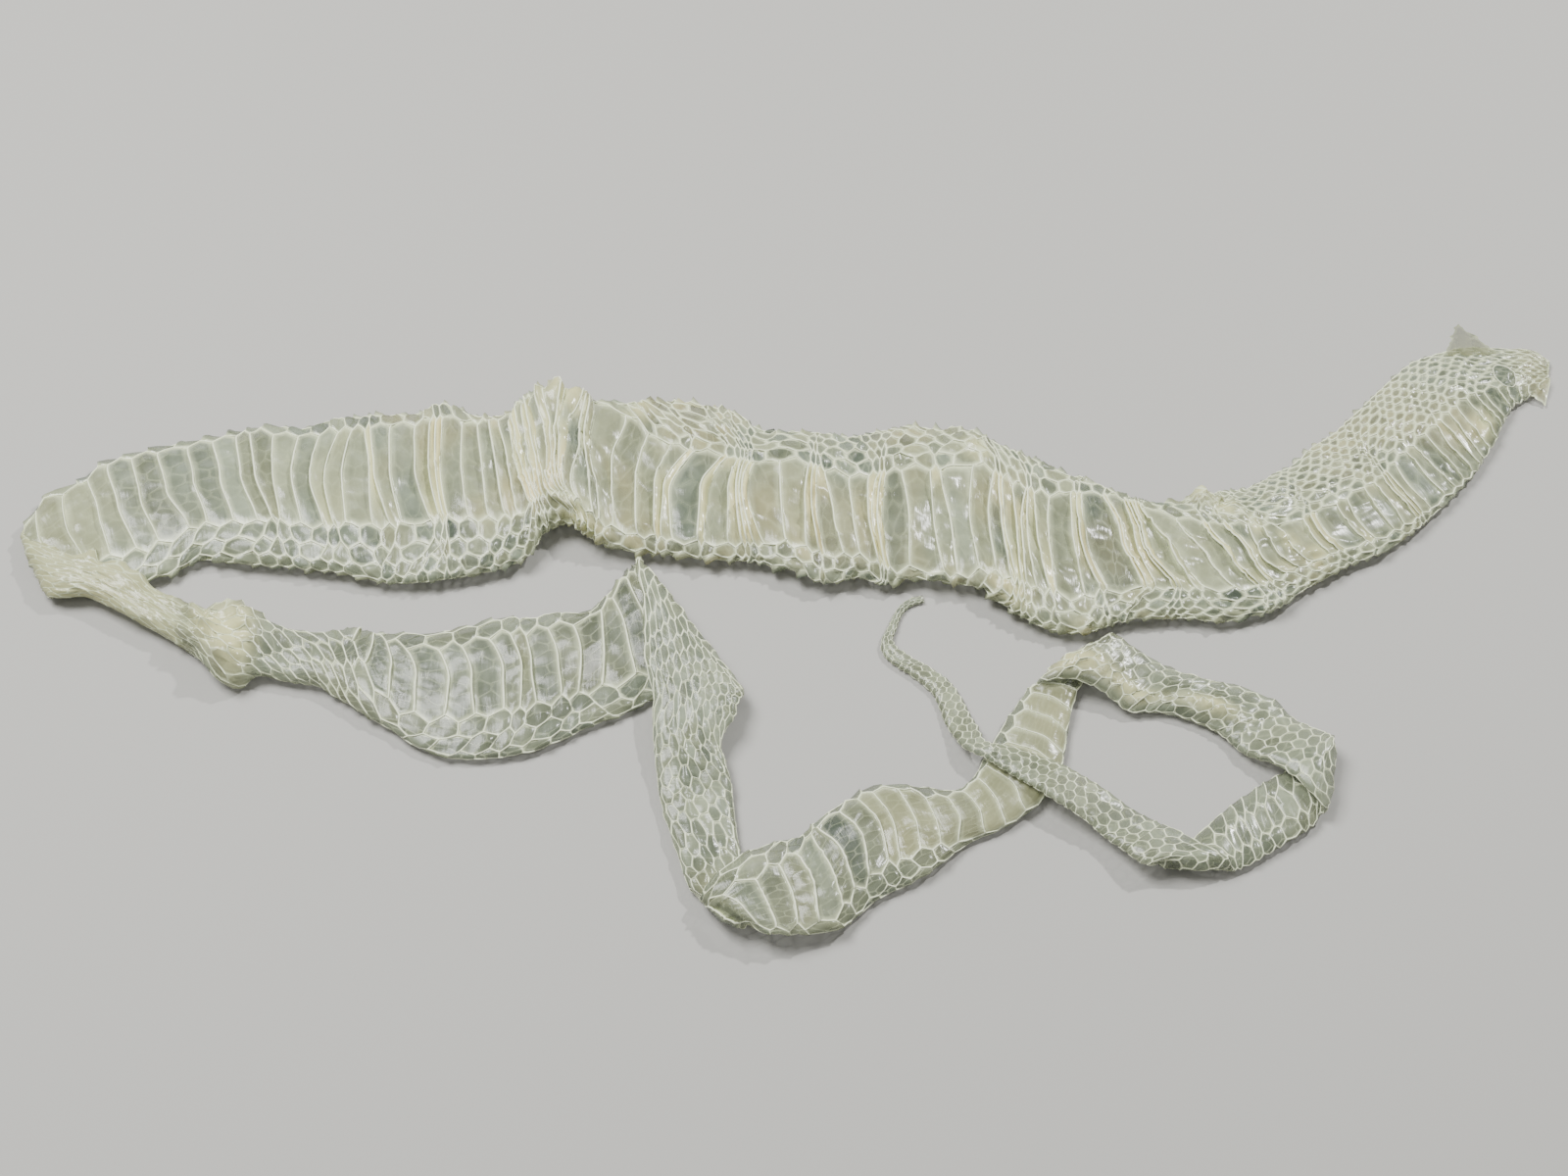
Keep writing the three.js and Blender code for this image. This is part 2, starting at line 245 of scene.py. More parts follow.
# %% Stations of the tail
TAIL = dict(
    overturned=False,
    edges=[
        (88, -77.5, 107, -77.5), (86.5, -77.5, 101.5, -72.5), (84.5, -77, 96, -69),
        (79.5, -72, 89, -64.5), (75.5, -68, 83.5, -60.5), (70.5, -64, 77, -55.5),
        (64.5, -59.5, 71.5, -51.5), (59.5, -55.5, 66.5, -48), (55, -52.5, 60, -45.5),
        (50.5, -49.5, 55, -43), (46.5, -46, 48.5, -41.5), (41.5, -43, 46.5, -40.5),
        (39.5, -38.5, 45.5, -35), (37, -33.5, 44, -30.5), (35.5, -28, 42, -25),
        (34.5, -23.5, 39.5, -20), (28.5, -17.5, 34, -15), (24.5, -14.5, 28.5, -12),
        (20.5, -11, 24.5, -8.5), (20, -6.5, 23.5, -6.5), (22.5, -2.5, 25, -3.5), (24, 2, 26, 1),
        (26.5, 6, 28, 4.5), (30, 8, 31, 6), (34, 8.5, 34, 6.5),
    ],
    heights=[
        (0, FOLD_LIFT, 3), (2, FOLD_LIFT, 3), (4, 2.5, TAIL_THICK + 0.5), (5, CROSS_LIFT, TAIL_THICK),
        (10, CROSS_LIFT, TAIL_THICK), (13, 0, TAIL_THICK), (23, 0, 1.5), (24, 0, 0.8),
    ],
    belly=[(0, 0.62, 0.98), (24, 0.6, 0.95)],
    rows_seen=[(0, 4.6), (10, 4.0), (24, 3.4)],
    crumple=[(0, 0.35), (11, 0.3), (24, 0.15)],
)
print("tail:", len(TAIL["edges"]), "stations")

# %% The whole course
COURSE = [BODY, RETURN, DESCENT, RISE, LOOP_FAR, LOOP_NEAR, TAIL]
print(sum(len(stretch["edges"]) for stretch in COURSE), "stations in", len(COURSE), "stretches")

# %% [markdown]
# ## Rails
# The stations become two rails, one along each edge of the ribbon, with a direction that says which
# way the first half of the tube faces. At a fold-over the ribbon runs round a small half circle,
# and that direction turns with it. The rails are then sampled every half millimetre and smoothed,
# because film bends in soft curves between its creases.

# %% Reading the station tables
FIRST, SECOND, FACING = slice(0, 3), slice(3, 6), slice(6, 9)      # columns of a ring
THICK, BELLY_LOW, BELLY_HIGH, ROWS_SEEN, CRUMPLE = range(9, 14)


def keyed(rows, at):
    """Values of the columns of a list of (place, value, ...) rows at the places asked for."""
    rows = np.array(rows, float)
    return np.stack([np.interp(at, rows[:, 0], column) for column in rows[:, 1:].T], axis=-1)


def along_skin(rows, s):
    """Values of a list of (distance, value) rows at distances along the skin."""
    return keyed(rows, s)[..., 0]


print("halfway between the rows (0, 1, 5) and (2, 3, 7) is", keyed([(0, 1, 5), (2, 3, 7)], 1))

# %% Rings of a stretch and of a fold-over
CREASE_THICK = 2.6     # mm, thickness of the tube where it is folded over
FOLD_SETBACK = 0.4     # mm a fold-over stands out past its stations
FOLD_TURNS = 6         # samples round a fold-over


def stretch_rings(stretch):
    """One row for each station: both edges, facing, thickness and the film's own values."""
    edges = np.array(stretch["edges"], float)
    stations = np.arange(len(edges))
    under, thick = keyed(stretch["heights"], stations).T
    facing = -1.0 if stretch["overturned"] else 1.0
    middle = under + thick / 2
    own = [keyed(stretch[name], stations) for name in ("belly", "rows_seen", "crumple")]
    flat = np.zeros(len(edges))
    return np.column_stack([
        edges[:, 0], edges[:, 1], middle, edges[:, 2], edges[:, 3], middle,
        flat, flat, flat + facing, thick, *own,
    ])


def fold_rings(last, first, before):
    """Rings round the half circle from the last ring of one stretch to the first of the next."""
    along = last[SECOND] - last[FIRST]
    along /= np.linalg.norm(along)
    outward = np.array([along[1], -along[0], 0.0])
    travel = (last[FIRST] + last[SECOND] - before[FIRST] - before[SECOND]) / 2
    if outward @ travel < 0:
        outward = -outward
    rise = first[2] - last[2]
    radius = abs(rise) / 2
    setback = radius + CREASE_THICK / 2 - FOLD_SETBACK
    curl = -math.copysign(1, rise) * last[8]
    rings = []
    for turn in np.linspace(0, math.pi, FOLD_TURNS + 1):
        share = (1 - math.cos(turn)) / 2
        ring = last * (1 - share) + first * share
        shift = outward * (radius * math.sin(turn) - setback)
        ring[FIRST] += shift
        ring[SECOND] += shift
        ring[FACING] = last[FACING] * math.cos(turn) + outward * curl * math.sin(turn)
        ring[THICK] = min(ring[THICK], CREASE_THICK)
        rings.append(ring)
    return np.array(rings)


print("the body has", len(stretch_rings(BODY)), "rings, and a fold-over", FOLD_TURNS + 1)

# %% Rails through all the rings
RAIL_STEP = 0.5        # mm between samples along the rails
RAIL_SOFTNESS = 1.8    # mm, how far a bend is rounded


def all_rings():
    """All rings from the mouth to the tail tip, with their distance along the skin."""
    stretches = [stretch_rings(stretch) for stretch in COURSE]
    rings = [stretches[0][:-1]]
    for ended, started in zip(stretches, stretches[1:]):
        rings.append(fold_rings(ended[-1], started[0], ended[-3]))
        rings.append(started[1:-1])
    rings.append(stretches[-1][-1:])
    rings = np.concatenate(rings)
    middles = (rings[:, FIRST] + rings[:, SECOND]) / 2
    steps = np.linalg.norm(np.diff(middles, axis=0), axis=1)
    return rings, np.concatenate([[0], np.cumsum(steps)])


def smoothed(columns, reach):
    """Columns averaged over a bell curve that reaches the given number of samples each way."""
    offsets = np.arange(-3 * reach, 3 * reach + 1)
    weights = np.exp(-0.5 * (offsets / reach) ** 2)
    weights /= weights.sum()
    padded = np.pad(columns, ((3 * reach, 3 * reach), (0, 0)), mode="edge")
    return np.stack([np.convolve(column, weights, "valid") for column in padded.T], axis=-1)


knots, knot_reach = all_rings()
LENGTH = float(knot_reach[-1])
reach = np.arange(0, LENGTH, RAIL_STEP)
rails = np.stack([np.interp(reach, knot_reach, column) for column in knots.T], axis=-1)
rails = smoothed(rails, int(round(RAIL_SOFTNESS / RAIL_STEP)))
rails[:, FACING] /= np.linalg.norm(rails[:, FACING], axis=1, keepdims=True)
girths = 2 * np.linalg.norm(rails[:, SECOND] - rails[:, FIRST], axis=1)
print("skin is", round(LENGTH), "mm long along its middle")

# %% [markdown]
# ## The film as a surface
# Two numbers name any point of the film: how far it is along the skin, and how far round the tube.
# The section is a flattened loop with rolled edges. On it, folds and dents come from a few dozen
# long waves, and sharp creases from waves whose zero line is drawn out as a ridge. Both grow with
# the crumple value, and fade where the film lies on the table.

# %% Waves for dents and creases


def waves(count, longest, shortest, most_round):
    """Random waves as rows of (per mm along, turns round, phase, strength)."""
    length = np.exp(chance.uniform(math.log(shortest), math.log(longest), count))
    turns = chance.integers(-most_round, most_round + 1, count)
    phase = chance.uniform(0, 2 * math.pi, count)
    return np.stack([2 * math.pi / length, turns, phase, (length / longest) ** 0.6], axis=-1)


def wave_sum(bank, s, q):
    """Sum of a bank of waves, about 1 at its strongest."""
    total = np.zeros(np.shape(s))
    for per_mm, turns, phase, strength in bank:
        total += strength * np.cos(per_mm * s + 2 * math.pi * turns * q + phase)
    return total / math.sqrt(np.sum(bank[:, 3] ** 2))


buckles = waves(26, 55, 14, 3)
creases = waves(22, 42, 11, 5)
fine_creases = waves(26, 15, 5, 9)
crush_waves = waves(24, 7, 2.6, 16)
print("the film has", len(buckles), "soft dents and", len(creases), "sharp creases")

# %% Tufts and crushed places
TUFTS = [              # (mm along, turns round, mm wide, turns wide, mm out)
    (318, 0.44, 2.2, 0.05, 4.5), (323, 0.46, 1.8, 0.04, 6.5), (327, 0.43, 2.0, 0.05, 4.0),
    (321, 0.36, 2.5, 0.06, 2.0), (326, 0.12, 2.5, 0.05, 1.6), (315, 0.4, 1.8, 0.05, 3.0),
    (537, 0.62, 2.2, 0.06, 4.0), (541, 0.75, 2.0, 0.07, 5.0), (546, 0.88, 2.2, 0.06, 4.0),
    (533, 0.85, 2.0, 0.06, 3.0), (551, 0.6, 2.5, 0.07, 3.0), (543, 0.5, 2.5, 0.07, 3.0),
    (503, 0.5, 1.8, 0.05, 4.5), (511, 0.5, 3.0, 0.06, 4.0), (517, 0.5, 2.5, 0.06, 2.5),
    (131, 0.46, 2.5, 0.05, 3.0), (122, 0.36, 2.2, 0.06, 1.8), (115, 0.24, 2.0, 0.07, 1.8),
    (550, 0.0, 3.2, 0.06, 3.2), (548, 0.5, 1.6, 0.05, 2.4), (554, 0.5, 1.6, 0.05, 1.6),
    (736, 0.3, 24, 0.022, 1.5), (760, 0.33, 8, 0.04, 1.0), (463, 0.3, 1.8, 0.2, 1.6),
    (470, 0.42, 3.0, 0.08, 2.0),
]
CRUSHED = [            # (mm along, turns round, mm wide, turns wide): film crushed to a lump
    (320, 0.02, 9, 0.1), (321, 0.42, 7, 0.07), (194, 0.06, 9, 0.05), (201, 0.4, 5, 0.05),
    (541, 0.7, 7, 0.2), (550, 0.75, 5, 0.25), (770, 0.2, 10, 0.2), (912, 0.32, 9, 0.1),
    (930, 0.36, 9, 0.08), (950, 0.3, 9, 0.08), (36, 0.1, 6, 0.06), (300, 0.43, 4, 0.05),
    (131, 0.47, 4.5, 0.05), (125, 0.39, 4, 0.05), (119, 0.3, 3, 0.05), (113, 0.2, 3, 0.05),
    (108, 0.1, 4, 0.05),
]


def mound(s, q, at, turn, wide, turns_wide):
    """1 at one place of the film, falling to 0 over so many mm along and so many turns round."""
    off = (q - turn + 0.5) % 1.0 - 0.5
    return np.exp(-(((s - at) / wide) ** 2) - (off / turns_wide) ** 2)


def crushed(s, q):
    """How crushed the film is, from 0 to 1."""
    return np.clip(sum(mound(s, q, *lump) for lump in CRUSHED), 0, 1)


print(len(TUFTS), "tufts stand out, and", len(CRUSHED), "places are crushed")

# %% The smooth film
EDGE_ROLL = 0.975      # nearer 1 gives a sharper rolled edge
SECTION_POWER = 3.5    # 2 gives an oval section, more a flatter one


def rail_place(s):
    """Number of the rail sample before each distance along the skin, and the share beyond it."""
    place = np.clip(np.asarray(s, float), 0, reach[-1]) / RAIL_STEP
    low = np.minimum(place.astype(int), len(rails) - 2)
    return low, place - low


def rail_at(s):
    """Rail values at distances along the skin."""
    low, share = rail_place(s)
    share = share[..., None]
    return rails[low] * (1 - share) + rails[low + 1] * share


def smooth_point(s, q):
    """Point of the film before it is crumpled, in mm."""
    rail = rail_at(s)
    angle = 2 * math.pi * np.asarray(q)
    across = -np.arcsin(EDGE_ROLL * np.cos(angle)) / math.asin(EDGE_ROLL)
    height = np.sign(np.sin(angle)) * np.sqrt(np.clip(1 - np.abs(across) ** SECTION_POWER, 0, 1))
    middle = (rail[..., FIRST] + rail[..., SECOND]) / 2
    half = (rail[..., SECOND] - rail[..., FIRST]) / 2
    puff = rail[..., FACING] * rail[..., THICK, None] / 2
    return middle + half * across[..., None] + puff * height[..., None]


def outward_at(s, q):
    """Direction square to the film, away from the inside of the tube."""
    along = smooth_point(s + 0.6, q) - smooth_point(s - 0.6, q)
    around = smooth_point(s, q + 0.004) - smooth_point(s, q - 0.004)
    normal = np.cross(around, along)
    return normal / np.maximum(np.linalg.norm(normal, axis=-1, keepdims=True), 1e-9)


print("a quarter of the way along, outwards is", outward_at(LENGTH / 4, 0.25).round(2))

# %% The crumpled film
BUCKLE_HIGH = 0.75     # mm, height of the soft dents
CREASE_HIGH = 0.9      # mm, height of the sharp creases
FINE_HIGH = 0.45       # mm, height of the fine creases
CRUSH_HIGH = 1.3       # mm, height of the small sharp folds of crushed film
LOWEST = 0.12          # mm, the film's least height over the table


def crumpled_by(s, q, normal):
    """How far the crumples push the film out, in mm."""
    amount = rail_at(s)[..., CRUMPLE]
    free = 0.2 + 0.8 * np.clip(normal[..., 2] * 0.8 + 0.6, 0, 1)
    dents = BUCKLE_HIGH * wave_sum(buckles, s, q)
    ridge = np.exp(-(wave_sum(creases, s, q) / 0.16) ** 2)
    fine = np.exp(-(wave_sum(fine_creases, s, q) / 0.2) ** 2)
    out = amount * free * (dents + CREASE_HIGH * (ridge - 0.25) + FINE_HIGH * (fine - 0.25))
    out = out + CRUSH_HIGH * crushed(s, q) * np.abs(wave_sum(crush_waves, s, q))
    for *place, high in TUFTS:
        out = out + high * mound(s, q, *place)
    return out


def film_point(s, q, lift=0.0):
    """Point of the crumpled film, lifted off it by so many mm."""
    s, q = np.broadcast_arrays(np.asarray(s, float), np.asarray(q, float))
    normal = outward_at(s, q)
    out = crumpled_by(s, q, normal) + lift
    point = smooth_point(s, q) + normal * out[..., None]
    point[..., 2] = np.maximum(point[..., 2], LOWEST)
    return point


top = film_point(LENGTH / 4, 0.25)
print("a quarter of the way along, the film's upper side is", round(float(top[2]), 1), "mm high")

# %% [markdown]
# ## Counting the scales
# A snake has one belly scute, and one slanting row of back scales, for each vertebra. So the skin is
# cut into steps along its length, one for each scute. Where the film is gathered like a curtain the
# steps are short and uneven, the lines between the scutes lean, and the film that has no room along
# the skin stands up instead. On the tail two rows of scales take the belly scute's place, and there
# are fewer rows on the back the thinner the tail gets.

# %% How the steps vary along the skin
PITCH = [              # mm from one line to the next
    (0, 4.3), (50, 4.2), (90, 3.6), (120, 3.6), (150, 3.8), (200, 3.8), (292, 4.3), (308, 3.4),
    (313, 1.9), (330, 1.9), (338, 3.8), (390, 4.8), (410, 6.7), (460, 6.7), (560, 6.2), (660, 6.2),
    (700, 5.6), (880, 5.6), (893, 4.2), (1020, 3.9), (1060, 3.6), (1100, 3.0), (1150, 2.2),
]
GATHER = [             # how far the film is gathered, 1 where it is pleated all over
    (0, 0.15), (50, 0.25), (90, 0.5), (130, 0.9), (290, 0.9), (310, 1.2), (335, 1.2), (360, 0.8),
    (395, 0.5), (415, 0.2), (450, 0.2), (458, 0.7), (474, 0.7), (480, 0.2), (590, 0.15), (650, 0.3),
    (765, 0.25), (800, 0.35), (825, 0.15), (1200, 0.05),
]
LEAN = [               # mm that a line runs on between the belly's two borders
    (0, 0), (98, 0), (110, 7), (135, 9), (150, 5), (168, 0), (262, -1), (278, -2), (286, -7),
    (302, -7), (312, 0), (395, 1), (410, 5), (455, 5), (470, 0), (585, 0), (597, 5), (640, 4),
    (657, 0), (1200, 0),
]
OPAQUE = [             # scutes that hide what is under them, as if several lay on each other
    (0, 0.0), (452, 0.0), (458, 0.4), (474, 0.4), (480, 0.0), (812, 0.0), (826, 0.38), (890, 0.38),
    (900, 0.0),
]
DARKER = [             # tint added to the panes, where a single layer lies flat
    (0, -0.8), (110, -0.6), (150, 0.0), (540, 0.0), (600, -1.2), (665, -1.2), (680, 0.0), (755, 0.0),
    (775, -1.3), (890, -1.3), (900, -0.4), (1200, -0.4),
]
FILM_SPARE = 1.3       # film in one scute, as a share of its usual step
ROWS_ON = [            # mm from, mm to, rows on the back, rows on the belly
    (1.0, 893.0, 17, 1), (893.0, 1058.0, 8, 2), (1058.0, 1103.0, 6, 2), (1103.0, LENGTH - 0.8, 4, 2),
]
print("a step is", PITCH[0][1], "mm at the mouth and", PITCH[-1][1], "mm at the tail's tip")

# %% Lines between the scutes
def scute_lines(start, stop):
    """Distances along the skin at which one scute ends and the next begins."""
    lines = [start]
    while lines[-1] < stop:
        uneven = math.exp(chance.normal(0, 0.04 + 0.1 * along_skin(GATHER, lines[-1])))
        lines.append(lines[-1] + along_skin(PITCH, lines[-1]) * uneven)
    lines = np.array(lines)
    return start + (lines - start) * (stop - start) / (lines[-1] - start)


def wander(count, steadiness):
    """A random walk that stays about 0, mostly between -1 and 1."""
    values = np.zeros(count)
    for index in range(1, count):
        values[index] = steadiness * values[index - 1] + chance.normal() * math.sqrt(1 - steadiness**2)
    return np.clip(values, -2, 2)


def kept_apart(lines, least):
    """The same lines, moved on where one would come closer than the least share of its step."""
    start, stop = lines[0], lines[-1]
    gap = least * np.median(np.diff(lines))
    for index in range(1, len(lines)):
        lines[index] = max(lines[index], lines[index - 1] + gap * chance.uniform(0.8, 1.2))
    return start + (lines - start) * (stop - start) / (lines[-1] - start)


print("about", round(float(np.sum(RAIL_STEP / along_skin(PITCH, reach)))), "steps fit along the skin")

# %% How the lines lean and bunch
FLAT_OR_STACKED = (1.65, 0.4)      # room a gathered scute takes, as a share of its step
BELLY_HALF = 0.16      # of the way round, where the lean of a scute line is set
END_FADE = 12          # mm over which the lines straighten towards the end of a section
BACK_BUNCH = 0.55      # how far the rows of the back are bunched with the scutes
BACK_FROM = 0.27       # of the way round, where the even rows of the back begin


def bunching(lines):
    """How far scute lines move from an even spread: flat panes share room with stacked folds."""
    steps = np.diff(lines)
    loose = np.clip(along_skin(GATHER, lines[:-1]), 0, 1)
    share = np.where(chance.random(len(steps)) < 0.5, *FLAT_OR_STACKED)
    share = share * chance.uniform(0.85, 1.15, len(steps))
    drift = np.concatenate([[0], np.cumsum(steps * (share - 1) * loose)])
    return drift - smoothed(drift[:, None], 4)[:, 0]


def line_courses(lines):
    """Each line's place at four marks round the tube: left of the belly, on it, right, back."""
    loose = along_skin(GATHER, lines)
    lean = along_skin(LEAN, lines)
    count = len(lines)
    fade = np.clip(np.minimum(lines - lines[0], lines[-1] - lines) / END_FADE, 0, 1)
    left = -lean / 2 + wander(count, 0.55) * (0.4 + 2.3 * loose)
    right = lean / 2 + wander(count, 0.55) * (0.4 + 2.3 * loose)
    middle = (left + right) / 2 + 0.7 + wander(count, 0.5) * (0.3 + 1.4 * loose)
    back = wander(count, 0.7) * (0.5 + 0.9 * loose)
    bunched = bunching(lines)
    offsets = (left + bunched, middle + bunched, right + bunched, back + BACK_BUNCH * bunched)
    marks = [kept_apart(lines + offset * fade, 0.22) for offset in offsets]
    return np.stack(marks, axis=-1)


def round_weights(turn):
    """Shares of the four marks at a place round the tube, given in turns from the belly's middle."""
    turn = (np.asarray(turn) + 0.5) % 1.0 - 0.5
    marks = np.array([-0.5, -BACK_FROM, -BELLY_HALF, 0.0, BELLY_HALF, BACK_FROM, 0.5])
    low = np.clip(np.searchsorted(marks, turn, side="right") - 1, 0, 5)
    share = (turn - marks[low]) / (marks[low + 1] - marks[low])
    share = share * share * (3 - 2 * share)
    order = np.array([3, 3, 0, 1, 2, 3, 3])
    weights = np.zeros(turn.shape + (4,))
    np.put_along_axis(weights, order[low][..., None], (1 - share)[..., None], axis=-1)
    high = np.take_along_axis(weights, order[low + 1][..., None], axis=-1)
    np.put_along_axis(weights, order[low + 1][..., None], high + share[..., None], axis=-1)
    return weights


print("0.08 turns from the belly's middle the marks count for", round_weights([0.08])[0])

# %% [markdown]
# ## Sharing out the rows round the tube
# The belly keeps its place round the tube from the station tables. The rows of back scales share the
# rest. Those on the upper side are spread as wide as the table says, and the others are squeezed
# together underneath, as they are in a skin that has slid round a little while it was pressed flat.

# %% Rows round the tube
ROUND_STEPS = 240


def row_places(rows_back, rows_belly):
    """For each rail sample, where every row line is on the way round, starting right of the belly."""
    low, high = rails[:, BELLY_LOW], rails[:, BELLY_HIGH]
    upper = (rails[:, FACING][:, 2] + 1) / 2
    span = 1 - (high - low)
    places = np.zeros((len(rails), rows_back + rows_belly + 1))
    widths = np.ones(rows_back)
    widths[[0, -1]] = 1.3
    widths[[1, -2]] = 1.12
    targets = np.concatenate([[0], np.cumsum(widths)])
    for index in range(len(rails)):
        q = high[index] + span[index] * np.linspace(0, 1, ROUND_STEPS)
        first_side = (q % 1.0) < 0.5
        seen_share = np.where(first_side, upper[index], 1 - upper[index])
        dense = 2 * rails[index, ROWS_SEEN]
        seen = dense * np.sum(seen_share) * span[index] / ROUND_STEPS
        hidden = np.sum(1 - seen_share) * span[index] / ROUND_STEPS
        rest = max(rows_back - seen, 1.0) / max(hidden, 0.02)
        count = np.cumsum(seen_share * dense + (1 - seen_share) * rest)
        count = (count - count[0]) / (count[-1] - count[0])
        places[index, : rows_back + 1] = np.interp(targets / targets[-1], count, q)
        steps = np.linspace(0, 1, rows_belly + 1)[1:]
        places[index, rows_back + 1 :] = low[index] + 1 + (high[index] - low[index]) * steps
    return smoothed(places, 8)


def place_at(places, row, s):
    """Place round the tube of row lines at distances along the skin."""
    low, share = rail_place(s)
    turns, row = np.divmod(row, places.shape[1] - 1)
    return places[low, row] * (1 - share) + places[low + 1, row] * share + turns


print("up to", rails[:, ROWS_SEEN].max().round(1), "rows would fill the width of the upper side")

# %% [markdown]
# ## The lattice of scales
# The rows stand half a step apart, like bricks, and each row line runs in a zigzag between them, so
# every back scale is a six-sided cell. A belly scute is one wide cell across its whole row. Each
# crossing of the lattice is moved a little at random. A section of the lattice keeps one number of
# rows, and the film collects the points and faces of all of them.

# %% How the scales vary along the skin
ZIGZAG = 0.2           # of a row's width
JITTER = 0.06          # of a cell
SMOOTHED = [           # where the film is drawn smooth over a roll
    (0, 0), (472, 0), (482, 1), (525, 1), (538, 0.3), (560, 0), (1200, 0),
]
SCUTE_HINGE = [        # size of the hinge behind each belly scute
    (0, 0.6), (80, 0.7), (140, 1.0), (450, 1.0), (458, 0.6), (474, 0.6), (480, 1.0), (812, 1.0),
    (826, 0.65), (890, 0.65),
]
CALM = [               # how far the scales stand up, from flat to ruffled
    (0, 0.5), (120, 1.0), (340, 1.0), (440, 0.9), (480, 0.5), (560, 0.5), (600, 0.4), (660, 0.5),
    (700, 0.25), (790, 0.5), (830, 0.3), (893, 0.2), (1200, 0.18),
]
PANE_SIZE = [          # size of the flat pane within its cell
    (0, 0.54), (120, 0.56), (150, 0.62), (330, 0.66), (400, 0.72), (560, 0.82), (1200, 0.82),
]
SCUTE_COLUMNS = 28
SCUTE_HEM = 0.95       # where a scute's free hem is, as a share of its step
SCUTE_ROWS = [0.0, 0.06, 0.25, 0.5, 0.75, 0.88, SCUTE_HEM, 1.0]
HEM_RIM = {0.0: 1.0, 0.06: 0.35, 0.88: 0.2, SCUTE_HEM: 0.9, 1.0: 1.0}
print("each belly scute is", SCUTE_COLUMNS, "by", len(SCUTE_ROWS) - 1, "faces")

# %% Collecting film
class Film:
    """Points and faces of film, with what the finish reads at each point."""

    def __init__(self):
        self.points = []
        self.faces = []
        self.count = 0

    def add(self, *values):
        """Add points, as (s, q, lift, rim, stack, tint), and return their numbers."""
        columns = np.broadcast_arrays(*[np.asarray(value, float) for value in values])
        self.points.append(np.stack([column.ravel() for column in columns], axis=-1))
        start = self.count
        self.count += len(self.points[-1])
        return np.arange(start, self.count)


print("an empty film has", Film().count, "points")

# %% A section of the lattice
class Section:
    """The lattice between two rings of the skin, with its own number of rows."""

    def __init__(self, start, stop, rows_back, rows_belly):
        self.back = rows_back
        self.rows = rows_back + rows_belly
        self.scuted = rows_belly == 1
        self.places = row_places(rows_back, rows_belly)
        courses = line_courses(scute_lines(start, stop))
        self.courses = np.zeros((2 * len(courses) - 1, 4))
        self.courses[0::2] = courses
        self.courses[1::2] = (courses[:-1] + courses[1:]) / 2
        self.last = len(self.courses) - 1
        self.jitter = chance.normal(0, JITTER, (self.last + 1, self.rows, 2))
        self.jitter[[0, -1]] = 0
        self.s, self.q = self.crossings()

    def line_s(self, k, q, near):
        """Distance along the skin of line k at a place round the tube, near a rough distance."""
        belly = np.interp(near, reach, (rails[:, BELLY_LOW] + rails[:, BELLY_HIGH]) / 2)
        return np.sum(self.courses[k] * round_weights(q - belly), axis=-1)

    def crossings(self):
        """Distance and place round the tube for each (line, row) crossing."""
        k, j = np.indices((self.last + 1, self.rows + 1))
        rough = self.courses.mean(axis=1)[:, None] + np.zeros(j.shape)
        s = self.line_s(k, place_at(self.places, j, rough), rough)
        q = place_at(self.places, j, s)
        above = place_at(self.places, j + 1, s) - q
        below = q - place_at(self.places, j - 1, s)
        width = np.minimum(above, below)
        q = q + np.where((k + j) % 2 == 1, ZIGZAG, -ZIGZAG) * width
        shift = self.jitter[:, np.arange(self.rows + 1) % self.rows]
        step = np.gradient(self.courses.mean(axis=1))[:, None]
        return s + shift[..., 0] * step * 2, q + shift[..., 1] * width

    def corner(self, k, j):
        """Distance and place round the tube of one crossing; rows go on past the last one."""
        turns, row = divmod(j, self.rows)
        return self.s[k, row], self.q[k, row] + turns

    def place_of(self, k, j, kind):
        """Place of a crossing, or of the middle of the line from it along or across the skin."""
        if kind == "at":
            return self.corner(k, j)
        other = self.corner(k + 1, j) if kind == "along" else self.corner(k, j + 1)
        return between(self.corner(k, j), other)


def between(first, second, share=0.5):
    """The place a share of the way from one place to another."""
    return tuple(a + (b - a) * share for a, b in zip(first, second))


print("halfway between (0, 1) and (2, 2) is", between((0, 1), (2, 2)))

# %% [markdown]
# ## Back scales
# On the snake each back scale is a thick plate with thin skin round it. In the shed that shows as a
# flat, glassy pane inside a milky rim. So a cell gets a rim of points that it shares with the cells
# next to it, and an inner ring and a middle that stand up a little, most at the end towards the tail.

# %% Outline of a six-sided cell
def cell_outline(j, first, last):
    """Keys of the places round a cell, from its head end, first along row line j."""
    keys = [(k, j, kind) for k in range(first, last) for kind in ("at", "along")]
    keys += [(last, j, "at"), (last, j, "across")]
    for k in range(last, first, -1):
        keys += [(k, j + 1, "at"), (k - 1, j + 1, "along")]
    return keys + [(first, j + 1, "at"), (first, j, "across")]


print("a back cell has", len(cell_outline(0, 0, 2)), "places round it")

# %% Filling the six-sided cells
USUAL_CELL = 4.5           # mm
SCALE_TILT = (0.16, 0.45)  # mm that a scale's free end stands up
RUFFLE = 0.4               # mm more, where the film is gathered
EDGE_RUFFLE = (0.1, 1.2)   # mm more, on the ribbon's two edges
EDGE_WIDE = 0.035          # turns
PANE_LIFT = 0.1            # mm
CORNERS_IN = 0.93          # a pane is rounder than its cell: its corners come in by this share,
SIDES_OUT = 1.07           # and its sides go out by this one


